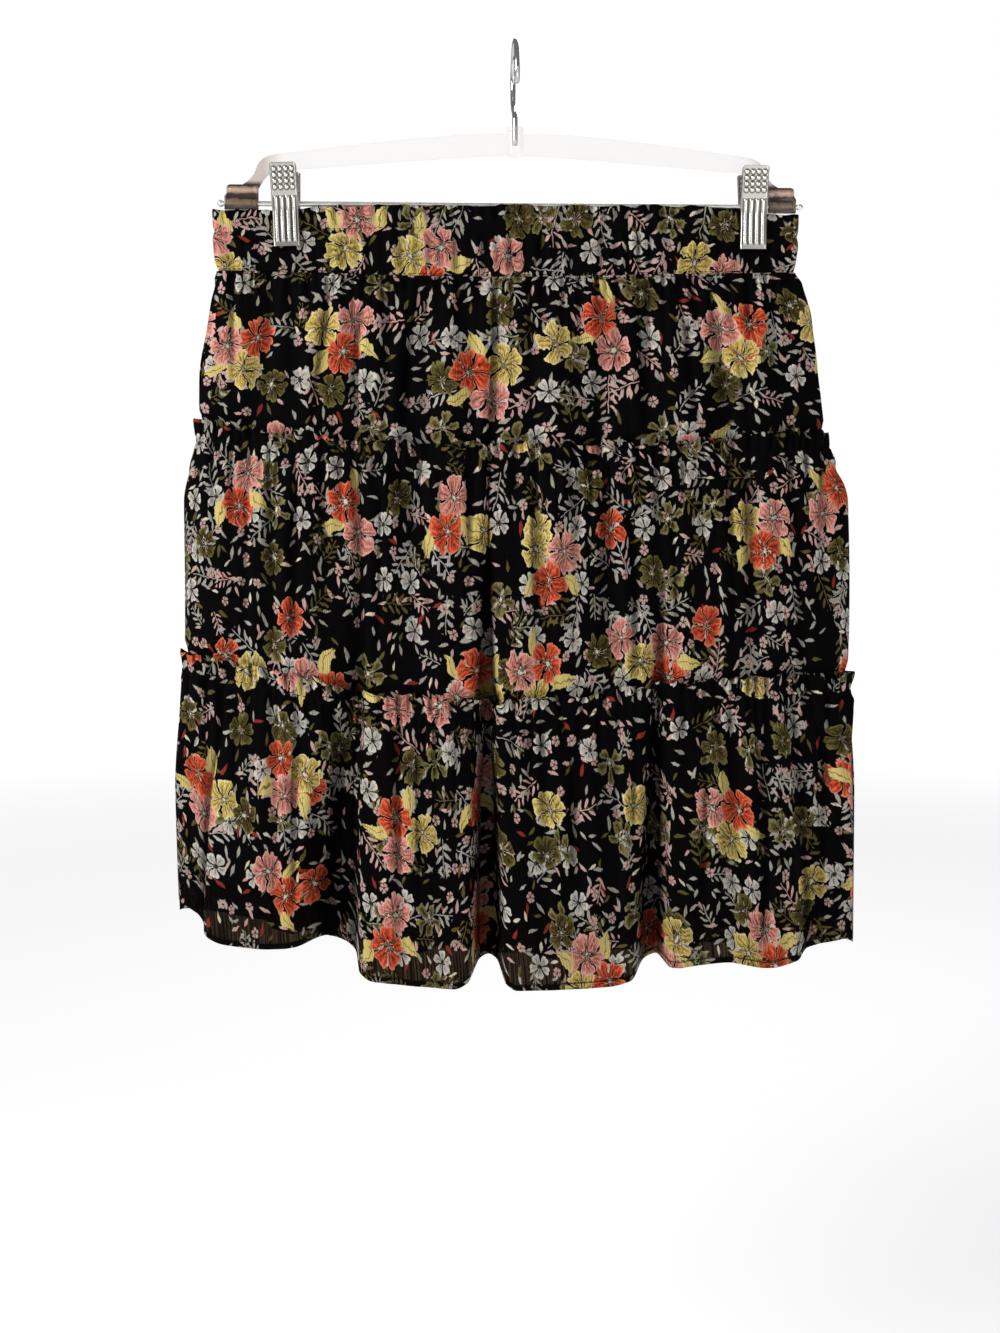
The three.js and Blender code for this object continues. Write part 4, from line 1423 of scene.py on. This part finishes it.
def plastic_material():
    """Clear plastic, warm in the moulded end blocks and darker along the bars' edges, with
    random swirls. The darker edges are painted shade, for the dark rims of round clear bars."""
    paint = Paint("clear_plastic")
    place = paint.object_place()
    x, _, z = paint.split(place)
    height = (z + x * math.tan(TILT)) / MM
    ends = abs(x).ramp(0.138, 0.15)
    low = height.ramp(-80.0, -82.5)
    upper, lower = (abs((height - bar["z"]) / bar["radius"]) for bar in BARS)
    swirl = paint.cloud(place, 240.0, 2.0, "3D")
    # Painted shade: darker towards each bar's top and bottom edges, mixed with random swirls
    dark = (upper.math("MINIMUM", lower) + swirl * 0.9).ramp(0.55, 1.2)
    amber = paint.blend(linear(204, 160, 130), linear(138, 116, 96), upper.ramp(0.9, 1.1))
    block = paint.blend(amber, linear(52, 38, 29), dark)
    warm = paint.blend(linear(168, 140, 118), block, low)
    colour = paint.blend(linear(226, 220, 214), warm, ends)
    clear = ends * (low * (dark * 0.34 + 0.2) + 0.24) + 0.14
    return paint.output(paint.principled(Base_Color=colour, Roughness=0.06, Alpha=clear))


def steel_material():
    """Bright steel, rougher in the hollows between the pressed ribs and dots. Its colour is
    darker there as painted shade, and lighter on the ribs and dots as painted highlights.
    """
    paint = Paint("steel")
    raised = paint.attribute("relief")
    # Painted shade in the hollows round the ribs and dots, and painted highlights on them
    colour = paint.blend(linear(70, 69, 60), linear(204, 203, 194), raised.ramp(0.0, 0.55))
    colour = paint.blend(colour, linear(238, 238, 232), raised.ramp(0.55, 0.9))
    rough = raised * -0.12 + 0.36
    return paint.output(paint.principled(Base_Color=colour, Roughness=rough, Metallic=1.0))


chrome = plain_material("chrome", linear(214, 214, 212), 0.14, 1.0)
# Painted light: the rod's chrome is a brighter, less metallic copy of the hook's, so the rod
# looks lit
lit_rod_chrome = plain_material("rod_chrome", linear(244, 243, 238), 0.24, 0.7)
spring = plain_material("spring", linear(190, 189, 182), 0.27, 1.0)
steel = steel_material()
plastic = plastic_material()
add_hook()
add_frame()
add_rod()
for side in CLIP_X:
    add_clip(side)


# Camera, light and floor

CAMERA = {"x": -8.9, "y": -900, "z": -305, "focal_px": 1475, "image_px": 1000, "down_px": 106.5}
LIGHTS = rows_of(
    "name place size power",
    ("key", (-1.2, -0.95, 0.45), 0.6, 20.5),
    ("fill", (1.0, -1.5, -0.1), 1.0, 5),
    ("back", (0.3, 1.4, 0.9), 0.9, 12),
)
LIT_PLACE = Vector((0, 0, -0.33))
FLOOR = {"far": 9.0, "low": -0.95}


def add_camera():
    data = bpy.data.cameras.new("camera")
    data.sensor_fit = "HORIZONTAL"
    data.sensor_width = 36
    data.lens = data.sensor_width * CAMERA["focal_px"] / CAMERA["image_px"]
    camera = link("camera", data)
    camera.location = [CAMERA[axis] * MM for axis in "xyz"]
    down = math.atan(CAMERA["down_px"] / CAMERA["focal_px"])
    camera.rotation_euler = (math.pi / 2 - down, 0, 0)
    bpy.context.scene.camera = camera


def add_light(row):
    data = bpy.data.lights.new(row["name"], "AREA")
    data.size = row["size"]
    data.energy = row["power"]
    light = link(row["name"], data)
    light.location = row["place"]
    light.rotation_euler = (LIT_PLACE - Vector(row["place"])).to_track_quat("-Z", "Y").to_euler()


def add_floor():
    """A pale floor that glows, more the further out it lies, and so runs out to the white of
    the background. The glow is painted light.
    """
    mesh = bpy.data.meshes.new("floor")
    far = FLOOR["far"]
    corners = [(-far, -far), (far, -far), (far, far), (-far, far)]
    mesh.from_pydata([(x, y, FLOOR["low"]) for x, y in corners], [], [(0, 1, 2, 3)])
    floor = link("floor", mesh)
    paint = Paint("floor")
    # Painted light: the floor's glow, weaker under the skirt and stronger further out
    glow = paint.length(paint.object_place()).ramp(1.2, 5.0) * 0.46 + 0.48
    white = {"Emission Color": (1.0, 1.0, 1.0), "Specular IOR Level": 0.0}
    pale = {"Base Color": (0.8, 0.8, 0.8), "Roughness": 0.9, "Emission Strength": glow}
    floor.data.materials.append(paint.output(paint.principled(**pale, **white)))


def add_world():
    """White behind the skirt, and a softer grey for the light that reaches it."""
    world = bpy.data.worlds.new("studio")
    bpy.context.scene.world = world
    world.use_nodes = True
    nodes, links = world.node_tree.nodes, world.node_tree.links
    background = nodes["Background"]
    background.inputs["Color"].default_value = (1, 1, 1, 1)
    seen = nodes.new("ShaderNodeLightPath")
    strength = nodes.new("ShaderNodeMapRange")
    strength.inputs["To Min"].default_value = 0.22
    strength.inputs["To Max"].default_value = 1.0
    links.new(seen.outputs["Is Camera Ray"], strength.inputs["Value"])
    links.new(strength.outputs["Result"], background.inputs["Strength"])


add_camera()
add_floor()
add_world()
for row in LIGHTS:
    add_light(row)

bpy.context.scene.view_settings.view_transform = "Standard"
